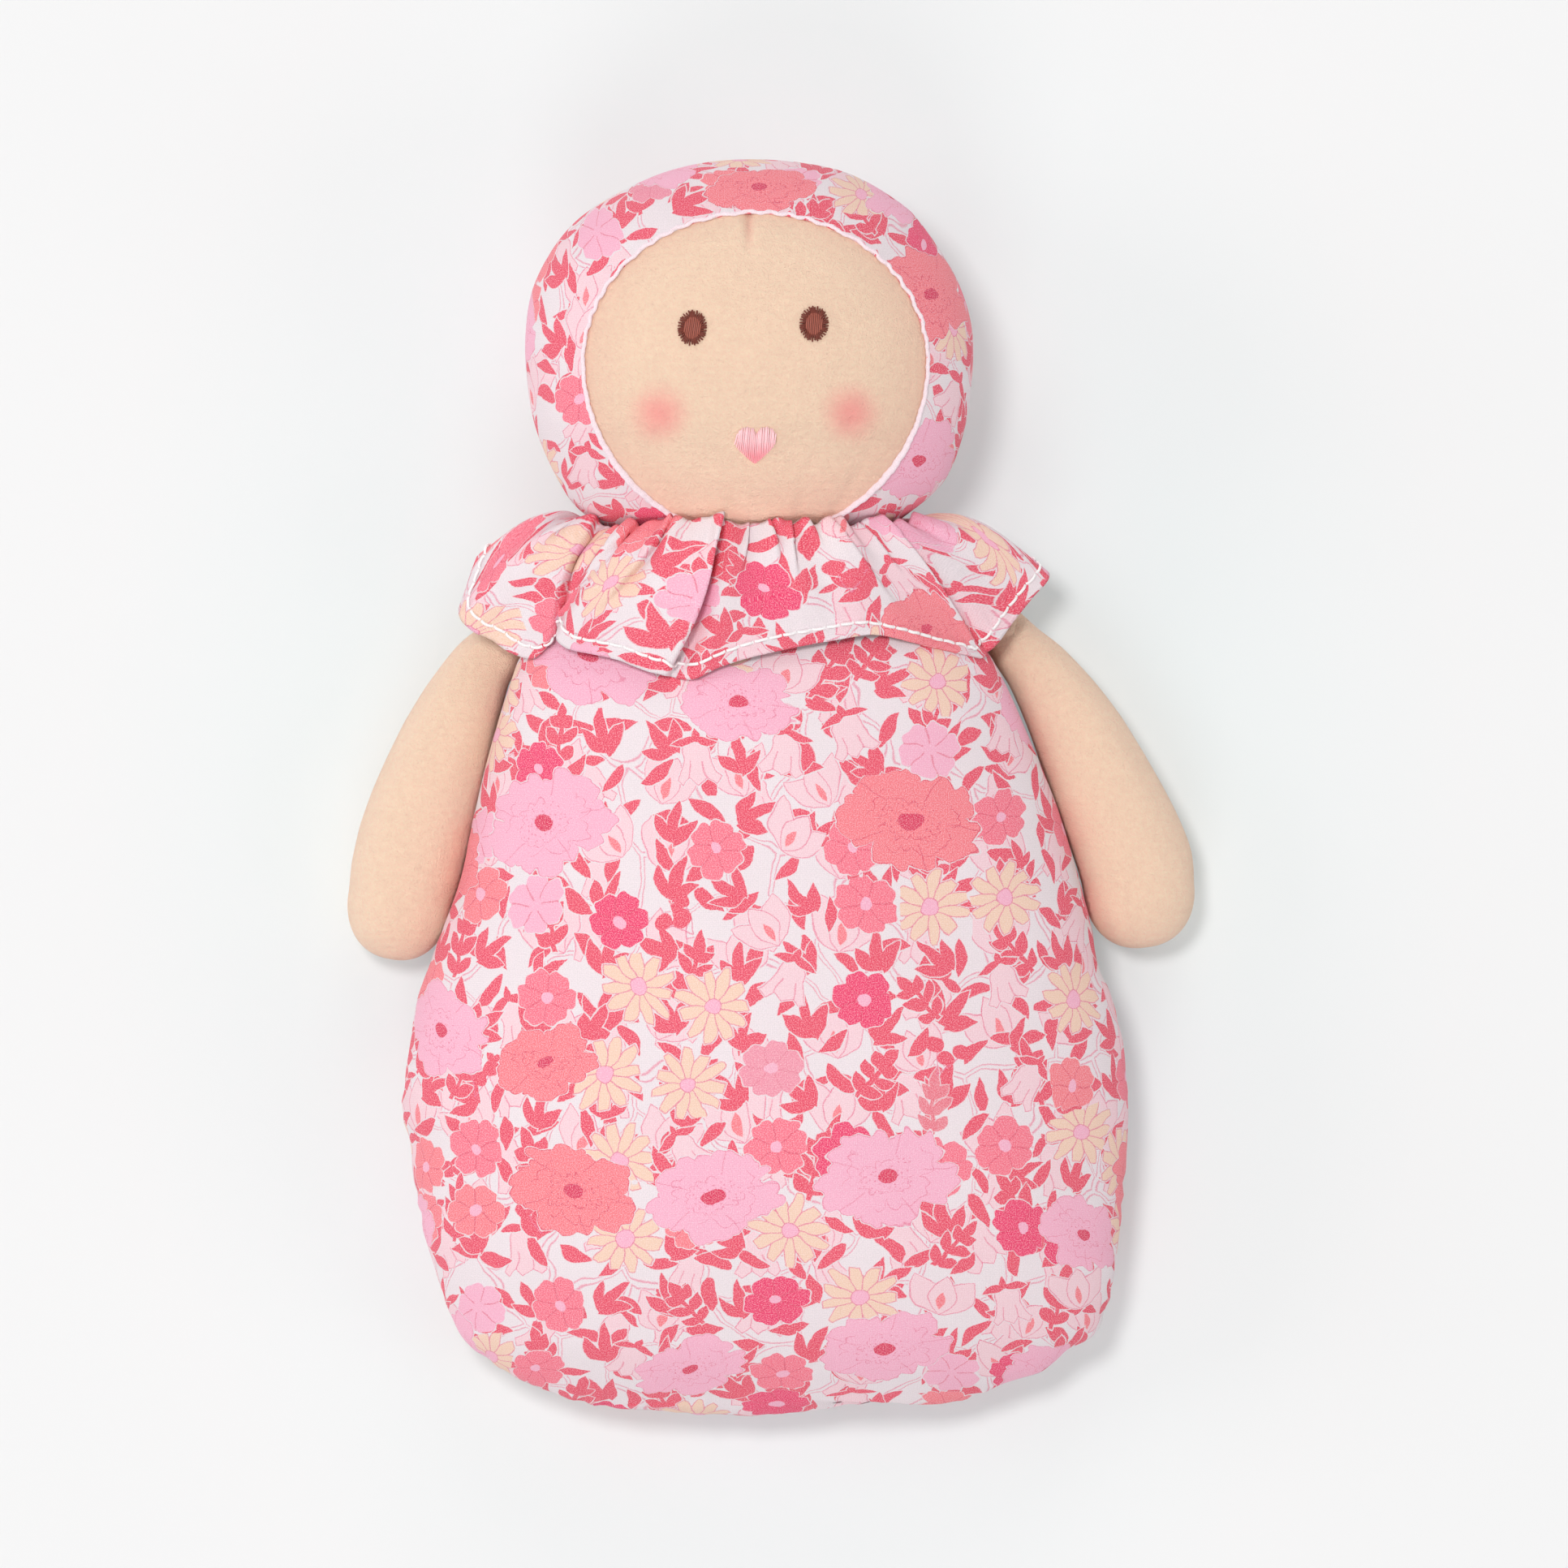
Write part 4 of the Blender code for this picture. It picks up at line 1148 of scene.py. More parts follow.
# Each arm from its root: the spine in pixels, the half width in pixels and the half depth in millimetres
LEFT_ARM_PX = [
    (634, 772, 30, 6.0), (614, 798, 35, 7.5), (591, 825, 41, 9.0), (569, 868, 50.5, 10.8),
    (551.5, 910, 58, 11.9), (535.5, 953, 63, 12.6), (521.5, 994, 67, 13.0), (509.5, 1035, 69.5, 13.1),
    (500, 1075, 69, 13.0), (493, 1110, 65.5, 12.6),
]
RIGHT_ARM_PX = [
    (1234, 774, 30, 6.0), (1256, 800, 35, 7.5), (1281, 828, 42, 9.0), (1308, 868, 50.5, 10.8),
    (1331.5, 910, 58, 11.9), (1352, 953, 63.5, 12.6), (1371, 994, 67.5, 13.0), (1387, 1030, 70, 13.1),
    (1399.5, 1065, 71.5, 13.0), (1404, 1098, 69, 12.6),
]
ARM_TIP_PX = {"left": (488, 1183), "right": (1409, 1168)}
ARM_ROOT_HEIGHT = 0.0125
ROOT_STEPS, TIP_STEPS = 8, 22
# Past this reach from the shoulder an arm is kept off the sack, by this gap
ARM_FREE, ARM_GAP = 0.012, 0.00015


def arm_ring(turns, centre, way, half_wide, half_deep, height):
    """A ring round an arm, fuller than an ellipse and drawn in at its two seams."""
    across = np.array((-way[1], way[0]))
    c, s = np.cos(turns), np.sin(turns)
    fuller = (np.abs(c) ** 2.3 + np.abs(s) ** 2.3) ** (-1 / 2.3)
    seam = 1 - 0.028 * np.exp(-(s / 0.10) ** 2)
    xy = centre + across[None] * (c * fuller * seam * half_wide)[:, None]
    return np.column_stack([xy, height + s * fuller * seam * half_deep])


def arm_rings(rows, tip, turns):
    """An arm's rings, from its gathered root along its spine to its round hand."""
    spine = at_pixels(rows[:, :2])
    plan = open_curve(spine, 70)
    at, fine = lengths_along(spine), lengths_along(plan)
    wide = np.interp(fine, at * fine[-1] / at[-1], rows[:, 2] / PIXELS_PER_METRE)
    deep = np.interp(fine, at * fine[-1] / at[-1], rows[:, 3] * MM)
    along = np.gradient(plan, axis=0)
    along /= np.linalg.norm(along, axis=1)[:, None]
    hand = np.linalg.norm(tip - plan[-1])
    rings = []
    for k in range(ROOT_STEPS):
        a = math.pi / 2 * (k + 0.35) / ROOT_STEPS
        centre = plan[0] - along[0] * math.cos(a) * wide[0]
        rings.append(arm_ring(turns, centre, along[0], wide[0] * math.sin(a), deep[0] * math.sin(a),
                              ARM_ROOT_HEIGHT))
    for k in range(len(plan)):
        height = max(ARM_ROOT_HEIGHT * (1 - k / 40), 0) + min(k / 40, 1) * deep[k] * 0.985
        rings.append(arm_ring(turns, plan[k], along[k], wide[k], deep[k], max(height, deep[k] * 0.9)))
    height = rings[-1][:, 2].mean()
    for k in range(1, TIP_STEPS):
        a = math.pi / 2 * k / TIP_STEPS
        share = math.cos(a) ** 0.86
        centre = plan[-1] + along[-1] * math.sin(a) * hand
        rings.append(arm_ring(turns, centre, along[-1], wide[-1] * share, deep[-1] * share, height))
    return np.array(rings)


def make_arm(side, rows_px, sack_tree):
    """A stuffed arm, pleated at the shoulder and resting against the sack."""
    turns = full_turn(56)
    points = arm_rings(np.array(rows_px, float), at_pixels(ARM_TIP_PX[side]), turns)
    gather = np.exp(-(np.arange(len(points)) - 4.0).clip(0) / 7.0)[:, None]
    pleats = 1 + 0.05 * np.sin(turns * 9)[None] * gather
    middle = points.mean(1, keepdims=True)
    points = middle + (points - middle) * pleats[..., None]
    shoulder = np.array((*at_pixels(rows_px[0][:2]), ARM_ROOT_HEIGHT))
    free = np.linalg.norm(points - shoulder, axis=2) > ARM_FREE
    points = np.where(free[..., None], push_out(points, sack_tree, ARM_GAP), points)
    points[..., 2] = np.maximum(points[..., 2], 0.0)
    arm = limb(f"{side}_arm_cover", points, -1)
    dress(arm, plush, f"{side}_arm", "velour", f"{side}_arm_skin", f"{side}_arm_stuffing")
    return arm


# The ruffle's hem by angle round the neck, 0 at the right and 90 at the front:
# pixels of the photograph, and the height in millimetres
HEM_PX = [
    (-90, 930, 815, 1.6), (-60, 1060, 800, 1.6), (-35, 1172, 738, 4.0), (-18, 1226, 702, 12.0),
    (-6, 1268, 694, 20.5), (2, 1291, 709, 25.0), (12, 1272, 735, 26.0), (24, 1245, 771, 28.5),
    (34, 1220, 803, 30.0), (42, 1199, 813, 31.5), (50, 1165, 803, 38.0), (58, 1120, 791, 43.5),
    (66, 1075, 782, 47.0), (74, 1030, 789, 49.5), (82, 980, 798, 50.5), (90, 925, 810, 51.0),
    (97, 885, 823, 51.0), (104, 850, 838, 50.5), (111, 808, 829, 49.5), (117, 768, 815, 47.5),
    (123, 730, 806, 45.0), (129, 703, 800, 43.0), (133, 688, 790, 42.0), (136, 684, 775, 38.0),
    (139, 676, 790, 36.5), (142, 660, 810, 34.5), (148, 636, 806, 32.0), (155, 608, 789, 30.5),
    (162, 583, 778, 30.0), (168, 566, 757, 29.5), (173, 573, 730, 30.5), (178, 590, 688, 31.5),
    (184, 612, 696, 27.0), (190, 630, 707, 21.0), (199, 646, 700, 12.0), (212, 670, 742, 3.0),
    (240, 780, 802, 1.6),
]
NECK_X, NECK_HEIGHT = -0.0050, 0.0285
RIDGE_Y = 0.0618
RIDGE_HALF_WIDTH, RIDGE_HALF_HEIGHT = 0.0385, 0.0228
SEAM_Y = 0.0437
RUFFLE_COLUMNS, RUFFLE_ROWS = 900, 56
STAND_ROWS = 8
HEM_WIDTH = 0.0035
CLOTH_GAP = 0.0007
# The length of the cut's gathered line, as a share of its hem
NECK_SHARE = 0.74
# Deeper tucks: angle at the neck, drift to the hem, share of the width where it fades, depth, reach to
# either side in degrees, and how far the raised side lies over the other
TUCKS = [(100, 9, 2.6, 0.0054, 2.4, 6.5, 0.0026), (157, -20, 2.6, 0.0030, 1.2, 5.0, 0.0010),
         (39, -2, 2.6, 0.0024, 2.4, 4.0, 0.0006), (76, 5, 0.5, 0.0026, 1.6, 3.0, 0.0012),
         (84, -3, 0.4, 0.0022, 1.4, 2.4, 0.0010), (91, 6, 0.4, 0.0018, 1.4, 2.0, 0.0008),
         (118, 12, 0.8, 0.0022, 2.2, 3.6, 0.0006), (62, -8, 0.8, 0.0020, 2.4, 3.0, 0.0004),
         (134, 4, 0.7, 0.0018, 1.8, 3.4, 0.0004), (50, -4, 0.5, 0.0016, 2.0, 2.6, 0.0004)]
STITCH_LENGTH, STITCH_PITCH = 0.0029, 0.0034
STITCH_HALF_SIZES = (0.00038, 0.00026)


def hem_line(angles):
    """The hem's place at each angle, smooth through the table."""
    table = np.array(HEM_PX, float)
    places = np.column_stack([at_pixels(table[:, 1:3]), table[:, 3] * MM])
    at = np.r_[table[-2:, 0] - 360, table[:, 0], table[:2, 0] + 360]
    values = np.vstack([places[-2:], places, places[:2]])
    wrapped = (angles + 90) % 360 - 90
    return np.stack([Stuffed.smoothed(wrapped, at, values[:, k]) for k in range(3)], 1)


def waves(a, counts, seed):
    """Uneven waves round the neck, about -1 to 1: a sum of drifting sines."""
    total = np.zeros_like(a)
    for k, count in enumerate(counts):
        drift = 1.7 * np.sin((3 + k) * a + seed + k) + 1.1 * np.sin((7 + 2 * k) * a + 2.3 * seed)
        swell = 0.65 + 0.35 * np.sin((4 + k) * a + 1.9 * seed + 2 * k)
        total += np.sin(count * a + drift) * swell
    return total / len(counts) ** 0.6


def tuck(off, depth, steep, gentle, over):
    """A fold that stands up on one side of a line and dips on the other: its lift and its slide."""
    above = soft_step(-0.5, 0.5, off)
    raised = above * np.exp(-np.abs(off) / gentle)
    dipped = (1 - above) * np.exp(-(off / (steep * 1.6)) ** 2)
    slide = (1 - above) * np.exp(-np.abs(off) / 3) * 0.5 - raised
    return depth * (raised * 0.8 - dipped), over * slide


def skirt_normals(skirt):
    normal = np.cross(np.roll(skirt, -1, 1) - np.roll(skirt, 1, 1), np.gradient(skirt, axis=0))
    normal /= np.linalg.norm(normal, axis=2)[..., None] + 1e-12
    if normal[10, RUFFLE_COLUMNS // 2, 2] < 0:
        normal = -normal
    return normal


def neck_lines(way, ripple, sack_tree):
    """The rolled neckline, and inside it the seam that lies on the sack."""
    ridge = np.stack([NECK_X + way[:, 0] * RIDGE_HALF_WIDTH, np.full(len(way), RIDGE_Y),
                      NECK_HEIGHT + way[:, 2] * RIDGE_HALF_HEIGHT], 1)
    ridge[:, 1] += ripple
    seam = ridge.copy()
    for k, direction in enumerate(way):
        origin = Vector((NECK_X, SEAM_Y, NECK_HEIGHT)) + Vector(direction) * 0.08
        hit, normal, _, _ = sack_tree.ray_cast(origin, -Vector(direction))
        seam[k] = hit + normal * 0.0006
    return ridge, seam


def smooth_skirt(ridge, hem, way, share):
    """The collar from its neckline to its hem, arched but still without folds."""
    skirt = ridge[None] + (hem - ridge)[None] * share[..., None]
    front, side = np.clip(way[:, 2], 0, 1)[None], way[:, 0][None] ** 2
    arch = 4 * share * (1 - share) ** 1.25
    skirt[..., 2] += arch * (0.0022 + 0.0040 * side + 0.0014 * front)
    skirt[..., 1] += arch * 0.0046 * side
    return skirt


def folds(angles, share, fine, broad, crushed):
    """How far the folds lift the cloth, and how far they slide it round the neck."""
    a = np.radians(angles)
    lift = 0
    for size, wave, where in ((0.0016, fine, (1 - share) ** 3.0), (0.0012, broad, (1 - share) ** 1.5),
                              (0.0009, crushed, bump(share, 0.17, 0.13)),
                              (0.0013, waves(a, (9, 14), 0.3), np.sin(np.pi * share ** 0.8)),
                              (0.0006, waves(a, (13, 17), 3.0), share ** 1.5),
                              (0.00016, waves(a, (88, 113), 1.2), bump(share, 0.90, 0.09))):
        lift = lift + (size * wave)[None] * where
    slide = (0.0015 * waves(a, (11, 17, 23), 5.2))[None] * bump(share, 0.20, 0.20)
    depth = np.sin(np.pi * (0.10 + 0.82 * share)) ** 0.7
    for angle, lean, reach, *sizes in TUCKS:
        higher, over = tuck(angles[None] - (angle + lean * share), *sizes)
        kept = depth * soft_step(reach, reach * 0.35, share)
        lift = lift + higher * kept
        slide = slide + over * kept
    return lift, slide


def pushed_clear(cloth, trees):
    """The collar moved off the pieces under it, and eased where it was pushed."""
    for _ in range(2):
        for tree in trees:
            cloth[2:] = push_out(cloth[2:], tree, CLOTH_GAP)
        eased = (np.roll(cloth, 1, 1) + np.roll(cloth, -1, 1)) * 0.25 + cloth * 0.5
        cloth[STAND_ROWS + 10:] = eased[STAND_ROWS + 10:]
    cloth[..., 2] = np.maximum(cloth[..., 2], CLOTH_GAP)
    return cloth


def ruffle_points(sack_tree, others):
    """The collar's cloth, row by row from the neck seam over the gathered neckline to the hem."""
    angles = np.arange(RUFFLE_COLUMNS) / RUFFLE_COLUMNS * 360 - 90
    a = np.radians(angles)
    way = np.stack([np.cos(a), np.zeros_like(a), np.sin(a)], 1)
    crowded = 0.42 + 0.85 * bump(angles, 80, 11) + 0.35 * bump(angles, 150, 12)
    fine, broad = waves(a, (29, 41, 19), 0.9) * crowded, waves(a, (15, 11), 2.1)
    crushed = waves(a, (38, 53), 4.4) * crowded
    ridge, seam = neck_lines(way, 0.0009 * fine + 0.0008 * broad, sack_tree)
    share = np.linspace(0, 1, RUFFLE_ROWS)[:, None]
    skirt = smooth_skirt(ridge, hem_line(angles), way, share)
    lift, slide = folds(angles, share, fine, broad, crushed)
    tangent = np.roll(ridge, -1, 0) - np.roll(ridge, 1, 0)
    tangent /= np.linalg.norm(tangent, axis=1)[:, None]
    skirt = skirt + skirt_normals(skirt) * lift[..., None] + tangent[None] * slide[..., None]
    climb = np.linspace(0, 1, STAND_ROWS, endpoint=False)[:, None, None]
    stand = seam[None] + (ridge - seam)[None] * climb
    stand = stand + way[None] * ((0.0009 * fine)[None] * climb[..., 0])[..., None]
    cloth = pushed_clear(np.concatenate([stand, skirt]), (sack_tree, *others))
    return cloth, skirt_normals(cloth)


def flounce_cut(along, hem_length):
    """The curved strip that the collar is cut from: its inner radius, its angle and its width."""
    width, stand = along[-1].mean(), along[STAND_ROWS].mean()
    inner = (NECK_SHARE * width - stand) / (1 - NECK_SHARE)
    return inner, hem_length / (inner + width), width


def without_ripples(values, waves_kept=9):
    """A ring of values with only its broad waves."""
    spectrum = np.fft.rfft(values, axis=-1)
    spectrum[..., waves_kept:] = 0
    return np.fft.irfft(spectrum, values.shape[-1], axis=-1)


def make_ruffle(sack_tree, others):
    """The gathered collar: a stand inside, a rolled neckline, folds and a stitched hem."""
    points, normals = ruffle_points(sack_tree, others)
    along = lengths_down(points)
    steps = without_ripples(np.linalg.norm(np.roll(points[-1], -1, 0) - points[-1], axis=1))
    inner, sector, width = flounce_cut(along, steps.sum())
    turned = np.r_[0, np.cumsum(steps)] / steps.sum() * sector
    turned = turned[None] - turned[RUFFLE_COLUMNS // 2]
    radius = inner + closed(without_ripples(along))
    cloth = np.stack([-radius * np.sin(turned), -radius * np.cos(turned)], -1)
    ruffle = build("collar_ruffle_cloth", points.reshape(-1, 3), grid_faces(len(points), RUFFLE_COLUMNS),
                   grid_cloth(cloth + CLOTH_SHIFTS["collar"]))
    hem_group = ruffle.vertex_groups.new(name="hem")
    to_hem = along[-1][None] - along
    weight = 0.5 + 0.5 * soft_step(HEM_WIDTH * 1.15, HEM_WIDTH * 0.92, to_hem)
    for number, value in enumerate(weight.ravel()):
        hem_group.add([number], float(value), "REPLACE")
    thicken(ruffle, 0.0009, 0).vertex_group = "hem"
    wings = split_wings(ruffle)
    dress(ruffle, cotton, "torso", "printed_cotton", "collar_ruffle")
    area = sector / 2 * ((inner + width) ** 2 - inner ** 2)
    make_hem_stitches(points, to_hem, normals)


# The collar's wings lie on the arms; these planes cut them from the rest of the collar
WING_PLANES = {"left": (Vector((-0.043, 0.046, 0.034)), Vector((0.95, 0.16, 0.30)).normalized()),
               "right": (Vector((0.036, 0.046, 0.036)), Vector((-0.95, -0.10, 0.30)).normalized())}


def crumple(item):
    """Gives the piece a mesh of its own."""
    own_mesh(item)


def wing_at(place):
    """The wing that a place belongs to, or None between them."""
    for side, (anchor, axis) in WING_PLANES.items():
        if (place - anchor).dot(axis) < 0:
            return side
    return None


def split_wings(ruffle):
    """Cuts the collar at the wing planes; the shading stays whole across the cuts."""
    bpy.context.view_layer.update()
    bm = bmesh.new()
    bm.from_mesh(ruffle.evaluated_get(bpy.context.evaluated_depsgraph_get()).to_mesh())
    for anchor, axis in WING_PLANES.values():
        bmesh.ops.bisect_plane(bm, geom=bm.verts[:] + bm.edges[:] + bm.faces[:], dist=1e-6,
                               plane_co=anchor, plane_no=axis)
    bm.normal_update()
    ruffle.modifiers.clear()
    ruffle.vertex_groups.clear()
    parts = {"left": [], "right": [], None: []}
    for face in bm.faces:
        parts[wing_at(face.calc_center_median())].append(face)
    wings = []
    for side in ("left", "right"):
        wing = part_of(bm, parts[side], f"collar_{side}_wing")
        dress(wing, cotton, "torso", "printed_cotton")
        crumple(wing)
        wings.append(wing)
    part_of(bm, parts[None], ruffle.name, ruffle)
    bm.free()
    return wings


def part_of(bm, faces, name, target=None):
    """Some faces of a mesh as a piece with the whole mesh's normals."""
    layer = bm.loops.layers.uv["cloth"]
    numbers, points, normals, rows, cloth = {}, [], [], [], []
    for face in faces:
        row = []
        for loop in face.loops:
            vert = loop.vert
            if vert not in numbers:
                numbers[vert] = len(points)
                points.append(vert.co.copy())
                normals.append(vert.normal.copy())
            row.append(numbers[vert])
            cloth.append(loop[layer].uv[:])
        rows.append(row)
    made = build(name, points, rows, cloth)
    made.data.normals_split_custom_set_from_vertices(normals)
    if target is not None:
        old, target.data = target.data, made.data
        bpy.data.objects.remove(made)
        bpy.data.meshes.remove(old)
        target.data.name = name
        return target
    return made


def make_hem_stitches(points, to_hem, normals):
    """Raised top stitching that follows the hem a little way in from its edge."""
    line, ups = np.empty((RUFFLE_COLUMNS, 3)), np.empty((RUFFLE_COLUMNS, 3))
    for k in range(RUFFLE_COLUMNS):
        for axis in range(3):
            line[k, axis] = np.interp(-HEM_WIDTH, -to_hem[:, k], points[:, k, axis])
            ups[k, axis] = np.interp(-HEM_WIDTH, -to_hem[:, k], normals[:, k, axis])
    line, ups = np.vstack([line, line[:1]]), np.vstack([ups, ups[:1]])
    length = lengths_along(line)
    count = int(length[-1] / STITCH_PITCH)
    share = np.linspace(0, 1, 7)
    stitches = {"left": [], "right": [], None: []}
    for k in range(count):
        where = (k + share * STITCH_LENGTH / STITCH_PITCH) * length[-1] / count
        place, up = read_at(where, length, line), read_at(where, length, ups)
        place = place + up * (0.00062 + 0.00024 * hump(share) - 0.00030 * (1 - hump(share)))[:, None]
        stitches[wing_at(Vector(place[3]))].append(tube(place, *STITCH_HALF_SIZES, up))
    for side, tubes in stitches.items():
        name = "hem_stitches" if side is None else f"hem_stitches_{side}"
        made = dress(bundle(name, tubes), white_thread, "torso", "printed_cotton")
        if side:
            crumple(made)


NECK_RADIUS, NECK_HALF_LENGTH, NECK_Y = 0.0128, 0.0128, 0.0529
SHOULDER_RADIUS = 0.0068


def make_neck():
    """The gathered velour neck under the collar."""
    turns = full_turn(64)
    rings = []
    for t in np.linspace(-0.97, 0.97, 26):
        radius = NECK_RADIUS * math.sqrt(1 - t * t) * (1 + 0.05 * np.sin(turns * 11) * (1 - abs(t)))
        rings.append(np.column_stack([NECK_X + np.cos(turns) * radius,
                                      np.full(64, NECK_Y + t * NECK_HALF_LENGTH),
                                      NECK_HEIGHT + np.sin(turns) * radius]))
    neck = limb("neck_cover", rings)
    dress(neck, plush, "neck", "velour", "neck_roll")


def make_shoulder(side, centre_px):
    """The gathered end of an arm, sewn into the side seam."""
    centre = np.array((*at_pixels(centre_px), ARM_ROOT_HEIGHT))
    turns = full_turn(48)
    inward = np.array((1.0 if side == "left" else -1.0, 0.25, 0.0))
    inward /= np.linalg.norm(inward)
    across = np.cross(inward, UP)
    rings = []
    for t in np.linspace(0.97, -0.5, 16):
        radius = SHOULDER_RADIUS * math.sqrt(1 - t * t) * (1 + 0.07 * np.sin(turns * 8))
        rings.append(centre + inward * SHOULDER_RADIUS * t + across * (np.cos(turns) * radius)[:, None]
                     + np.array(UP) * (np.sin(turns) * radius)[:, None])
    root = limb(f"{side}_shoulder_gather", rings)
    dress(root, plush, f"{side}_shoulder", "velour", f"{side}_shoulder_tab")


FLOOR_COLOUR = srgb(246, 246, 246)
FLOOR_SIZE = 24
FLOOR_GAP = 0.0002
SENSOR_MM = 36.0
FLOOR_NEAR, FLOOR_FAR = 0.35, 1.6
FLOOR_SHADED = 0.60
FLOOR_LIT = 1.08
# The pink glow that the doll casts round itself is answered by a little less red in the floor
GLOW_SIZE = (0.10, 0.145)
GLOW_REACH = 1.6
GLOW_ANSWER = (0.85, 1, 1, 1)
WORLD_LEVEL = 0.36
LAMPS = [("key", (-0.9, 1.0, 5.2), 1.1, 128.0), ("left_fill", (-4.8, 0.6, 2.4), 2.8, 53.0),
         ("right_fill", (4.4, -1.6, 2.8), 2.8, 31.0), ("low_fill", (-0.8, -4.0, 3.8), 2.8, 60.0),
         ("top_fill", (0.4, 4.6, 2.6), 2.8, 30.0)]


def add_node(tree, kind, operation=None, **inputs):
    """A node of the floor or the world, its inputs set by name."""
    made = tree.nodes.new(kind)
    if operation:
        made.operation = operation
    for name, value in inputs.items():
        made.inputs[name].default_value = value
    return made


def floor_material():
    """A pale floor that bounces light fully and shows the camera a soft, neutral shadow."""
    material = bpy.data.materials.new("floor")
    material.use_nodes = True
    tree = material.node_tree
    tree.nodes.clear()
    bounced = add_node(tree, "ShaderNodeBsdfDiffuse", Color=FLOOR_COLOUR)
    shaded = add_node(tree, "ShaderNodeBsdfDiffuse", Color=(FLOOR_SHADED,) * 3 + (1,))
    plain = add_node(tree, "ShaderNodeEmission", Strength=FLOOR_COLOUR[0] - FLOOR_SHADED * FLOOR_LIT)
    seen = add_node(tree, "ShaderNodeAddShader")
    path = add_node(tree, "ShaderNodeLightPath")
    either = add_node(tree, "ShaderNodeMath", "MAXIMUM")
    any_view = add_node(tree, "ShaderNodeMath", "MAXIMUM")
    mixed = add_node(tree, "ShaderNodeMixShader")
    place = add_node(tree, "ShaderNodeTexCoord")
    away = add_node(tree, "ShaderNodeVectorMath", "LENGTH")
    scaled = add_node(tree, "ShaderNodeVectorMath", "DIVIDE")
    scaled.inputs[1].default_value = (*GLOW_SIZE, 1.0)
    around = add_node(tree, "ShaderNodeVectorMath", "LENGTH")
    glow = add_node(tree, "ShaderNodeMapRange",
                    **{"From Min": 1.0, "From Max": GLOW_REACH, "To Min": 1.0, "To Max": 0.0})
    answer = add_node(tree, "ShaderNodeMixRGB", Color1=(1, 1, 1, 1), Color2=GLOW_ANSWER)
    far = add_node(tree, "ShaderNodeMapRange", **{"From Min": FLOOR_NEAR, "From Max": FLOOR_FAR})
    backdrop = add_node(tree, "ShaderNodeEmission", Color=FLOOR_COLOUR, Strength=1.0)
    view = add_node(tree, "ShaderNodeMixShader")
    out = add_node(tree, "ShaderNodeOutputMaterial")
    for start, end in ((place.outputs["Object"], away.inputs[0]), (away.outputs["Value"], far.inputs[0]),
                       (far.outputs[0], view.inputs[0]), (seen.outputs[0], view.inputs[1]),
                       (backdrop.outputs[0], view.inputs[2]),
                       (place.outputs["Object"], scaled.inputs[0]), (scaled.outputs[0], around.inputs[0]),
                       (around.outputs["Value"], glow.inputs[0]), (glow.outputs[0], answer.inputs[0]),
                       (answer.outputs[0], plain.inputs["Color"]),
                       (path.outputs["Is Camera Ray"], either.inputs[0]),
                       (path.outputs["Is Glossy Ray"], either.inputs[1]),
                       (either.outputs[0], any_view.inputs[0]),
                       (path.outputs["Is Transmission Ray"], any_view.inputs[1]),
                       (shaded.outputs[0], seen.inputs[0]), (plain.outputs[0], seen.inputs[1]),
                       (any_view.outputs[0], mixed.inputs[0]), (bounced.outputs[0], mixed.inputs[1]),
                       (view.outputs[0], mixed.inputs[2]), (mixed.outputs[0], out.inputs[0])):
        tree.links.new(start, end)
    return material


def make_floor():
    bpy.ops.mesh.primitive_plane_add(size=FLOOR_SIZE, location=(0, 0, -FLOOR_GAP))
    floor = bpy.context.object
    floor.name = "floor"
    floor.data.materials.append(floor_material())


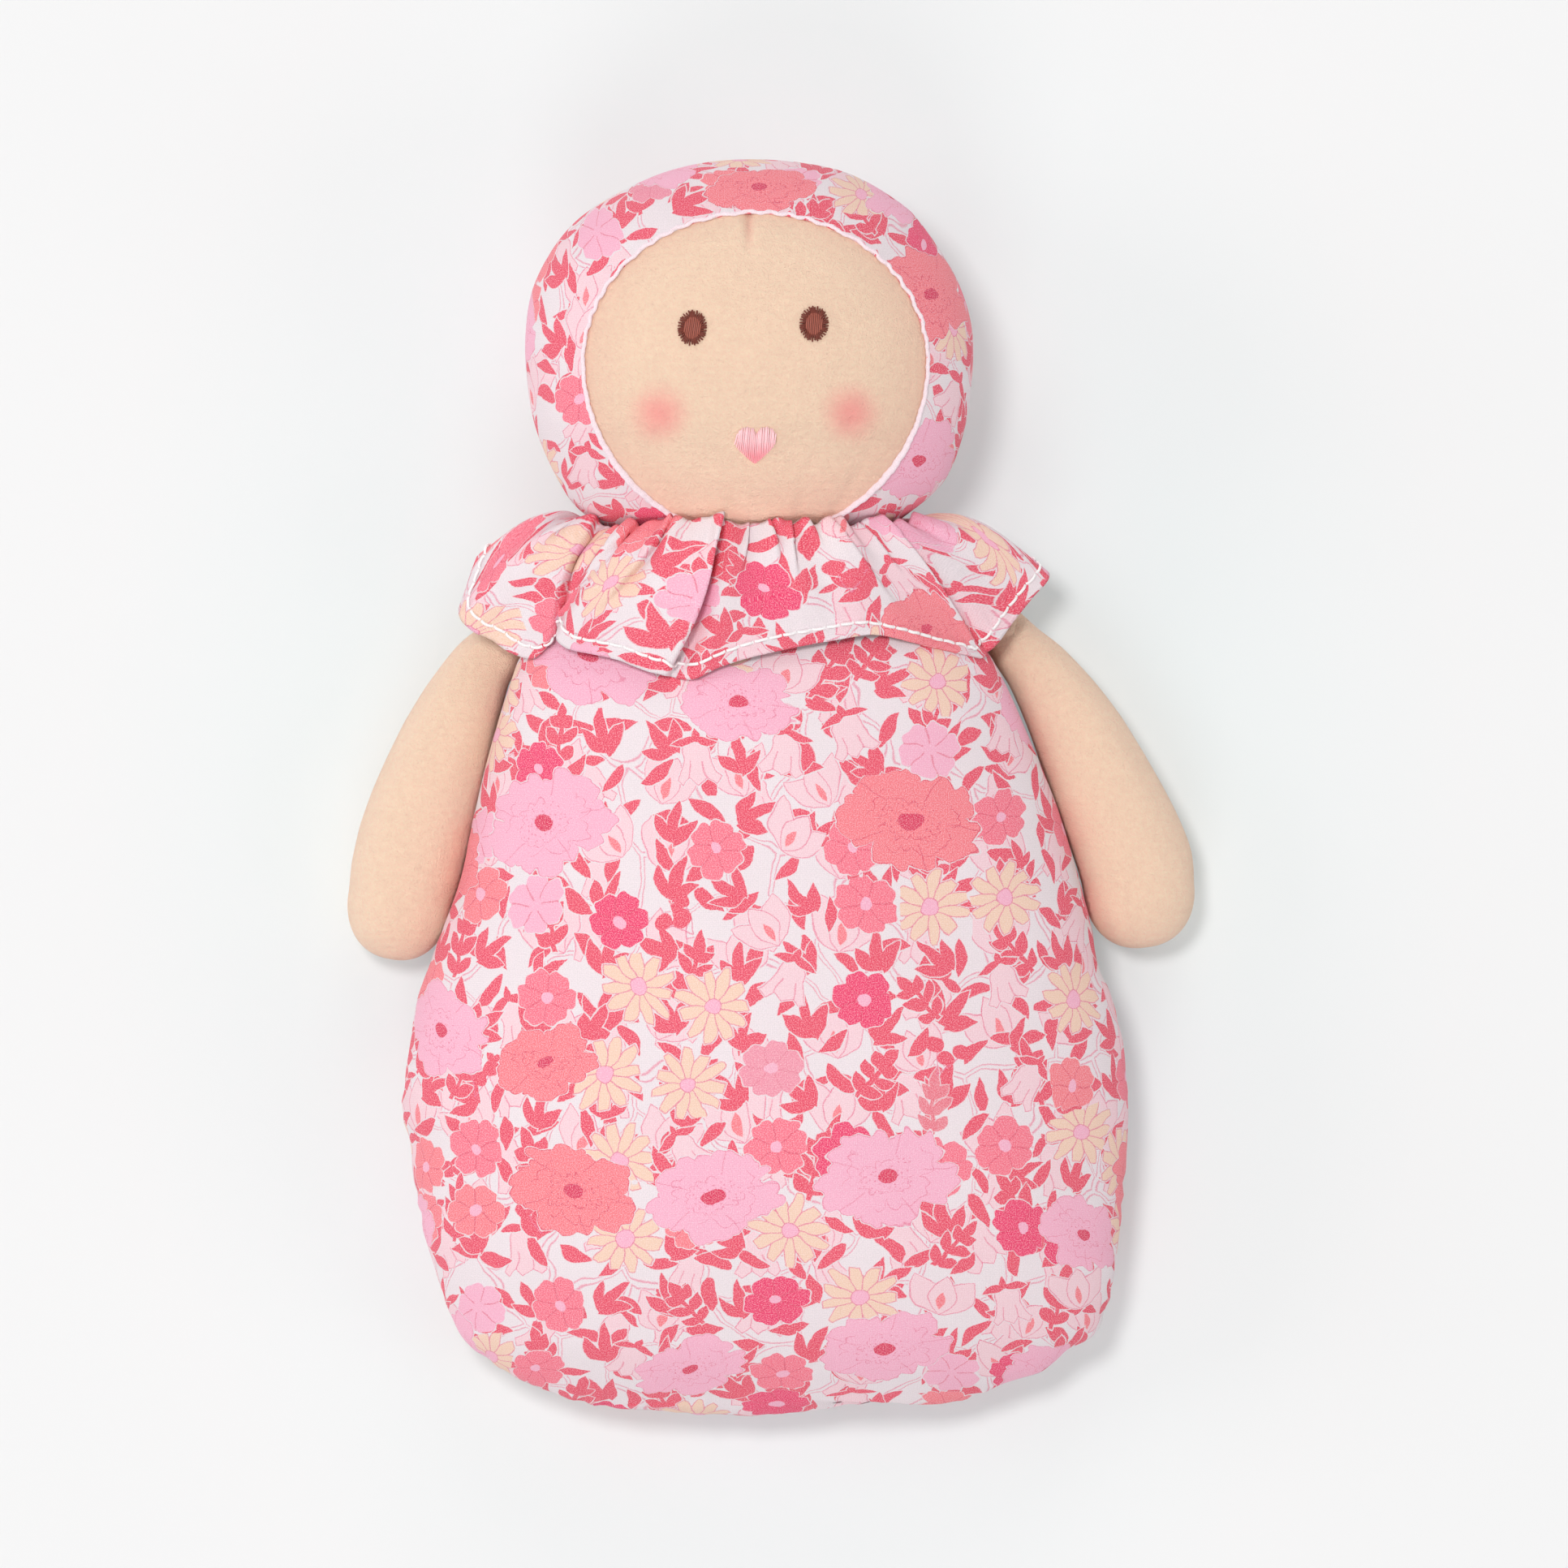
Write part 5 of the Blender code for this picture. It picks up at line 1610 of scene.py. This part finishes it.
def make_world():
    """Even light all round, seen by the camera as the floor's own colour."""
    world = bpy.data.worlds.new("studio")
    bpy.context.scene.world = world
    world.use_nodes = True
    tree = world.node_tree
    light = tree.nodes["Background"]
    light.inputs["Color"].default_value = (1, 1, 1, 1)
    light.inputs["Strength"].default_value = WORLD_LEVEL
    seen = add_node(tree, "ShaderNodeBackground", Color=FLOOR_COLOUR, Strength=1.0)
    mixed = add_node(tree, "ShaderNodeMixShader")
    path = add_node(tree, "ShaderNodeLightPath")
    for start, end in ((path.outputs["Is Camera Ray"], mixed.inputs[0]), (light.outputs[0], mixed.inputs[1]),
                       (seen.outputs[0], mixed.inputs[2]),
                       (mixed.outputs[0], tree.nodes["World Output"].inputs[0])):
        tree.links.new(start, end)


def make_lamps():
    for name, place, size, power in LAMPS:
        data = bpy.data.lights.new(name, "AREA")
        data.shape = "DISK"
        data.size = size
        data.energy = power
        lamp = bpy.data.objects.new(name, data)
        lamp.location = place
        lamp.rotation_euler = (-Vector(place)).to_track_quat("-Z", "Y").to_euler()
        bpy.context.scene.collection.objects.link(lamp)


def make_camera():
    """A camera that looks straight down from where the photograph was taken."""
    camera_data = bpy.data.cameras.new("camera")
    camera = bpy.data.objects.new("camera", camera_data)
    bpy.context.scene.collection.objects.link(camera)
    bpy.context.scene.camera = camera
    middle = at_pixels((PHOTO_PX / 2, PHOTO_PX / 2))
    camera.location = (middle[0], middle[1], CAMERA_HEIGHT)
    camera_data.sensor_width = 36.0
    camera_data.sensor_width = SENSOR_MM
    camera_data.lens = SENSOR_MM * (CAMERA_HEIGHT - SEAM_HEIGHT) * PIXELS_PER_METRE / PHOTO_PX
    camera_data.clip_end = 100
    bpy.context.scene.view_settings.view_transform = "Standard"

make_floor()
make_world()
make_lamps()
make_camera()
sack = make_sack()
sack_tree = tree_of(sack[0])
head_skin = make_head()
head_tree = tree_of(head_skin)
make_binding()
make_eye("left_eye", (853, 404), 0.12)
make_eye("right_eye", (1003, 399), 0.05)
make_mouth()
arms = [make_arm("left", LEFT_ARM_PX, sack_tree), make_arm("right", RIGHT_ARM_PX, sack_tree)]
arm_trees = [tree_of(arm) for arm in arms]
make_ruffle(sack_tree, [head_tree, *arm_trees])
make_neck()
make_shoulder("left", (632, 772))
make_shoulder("right", (1233, 770))
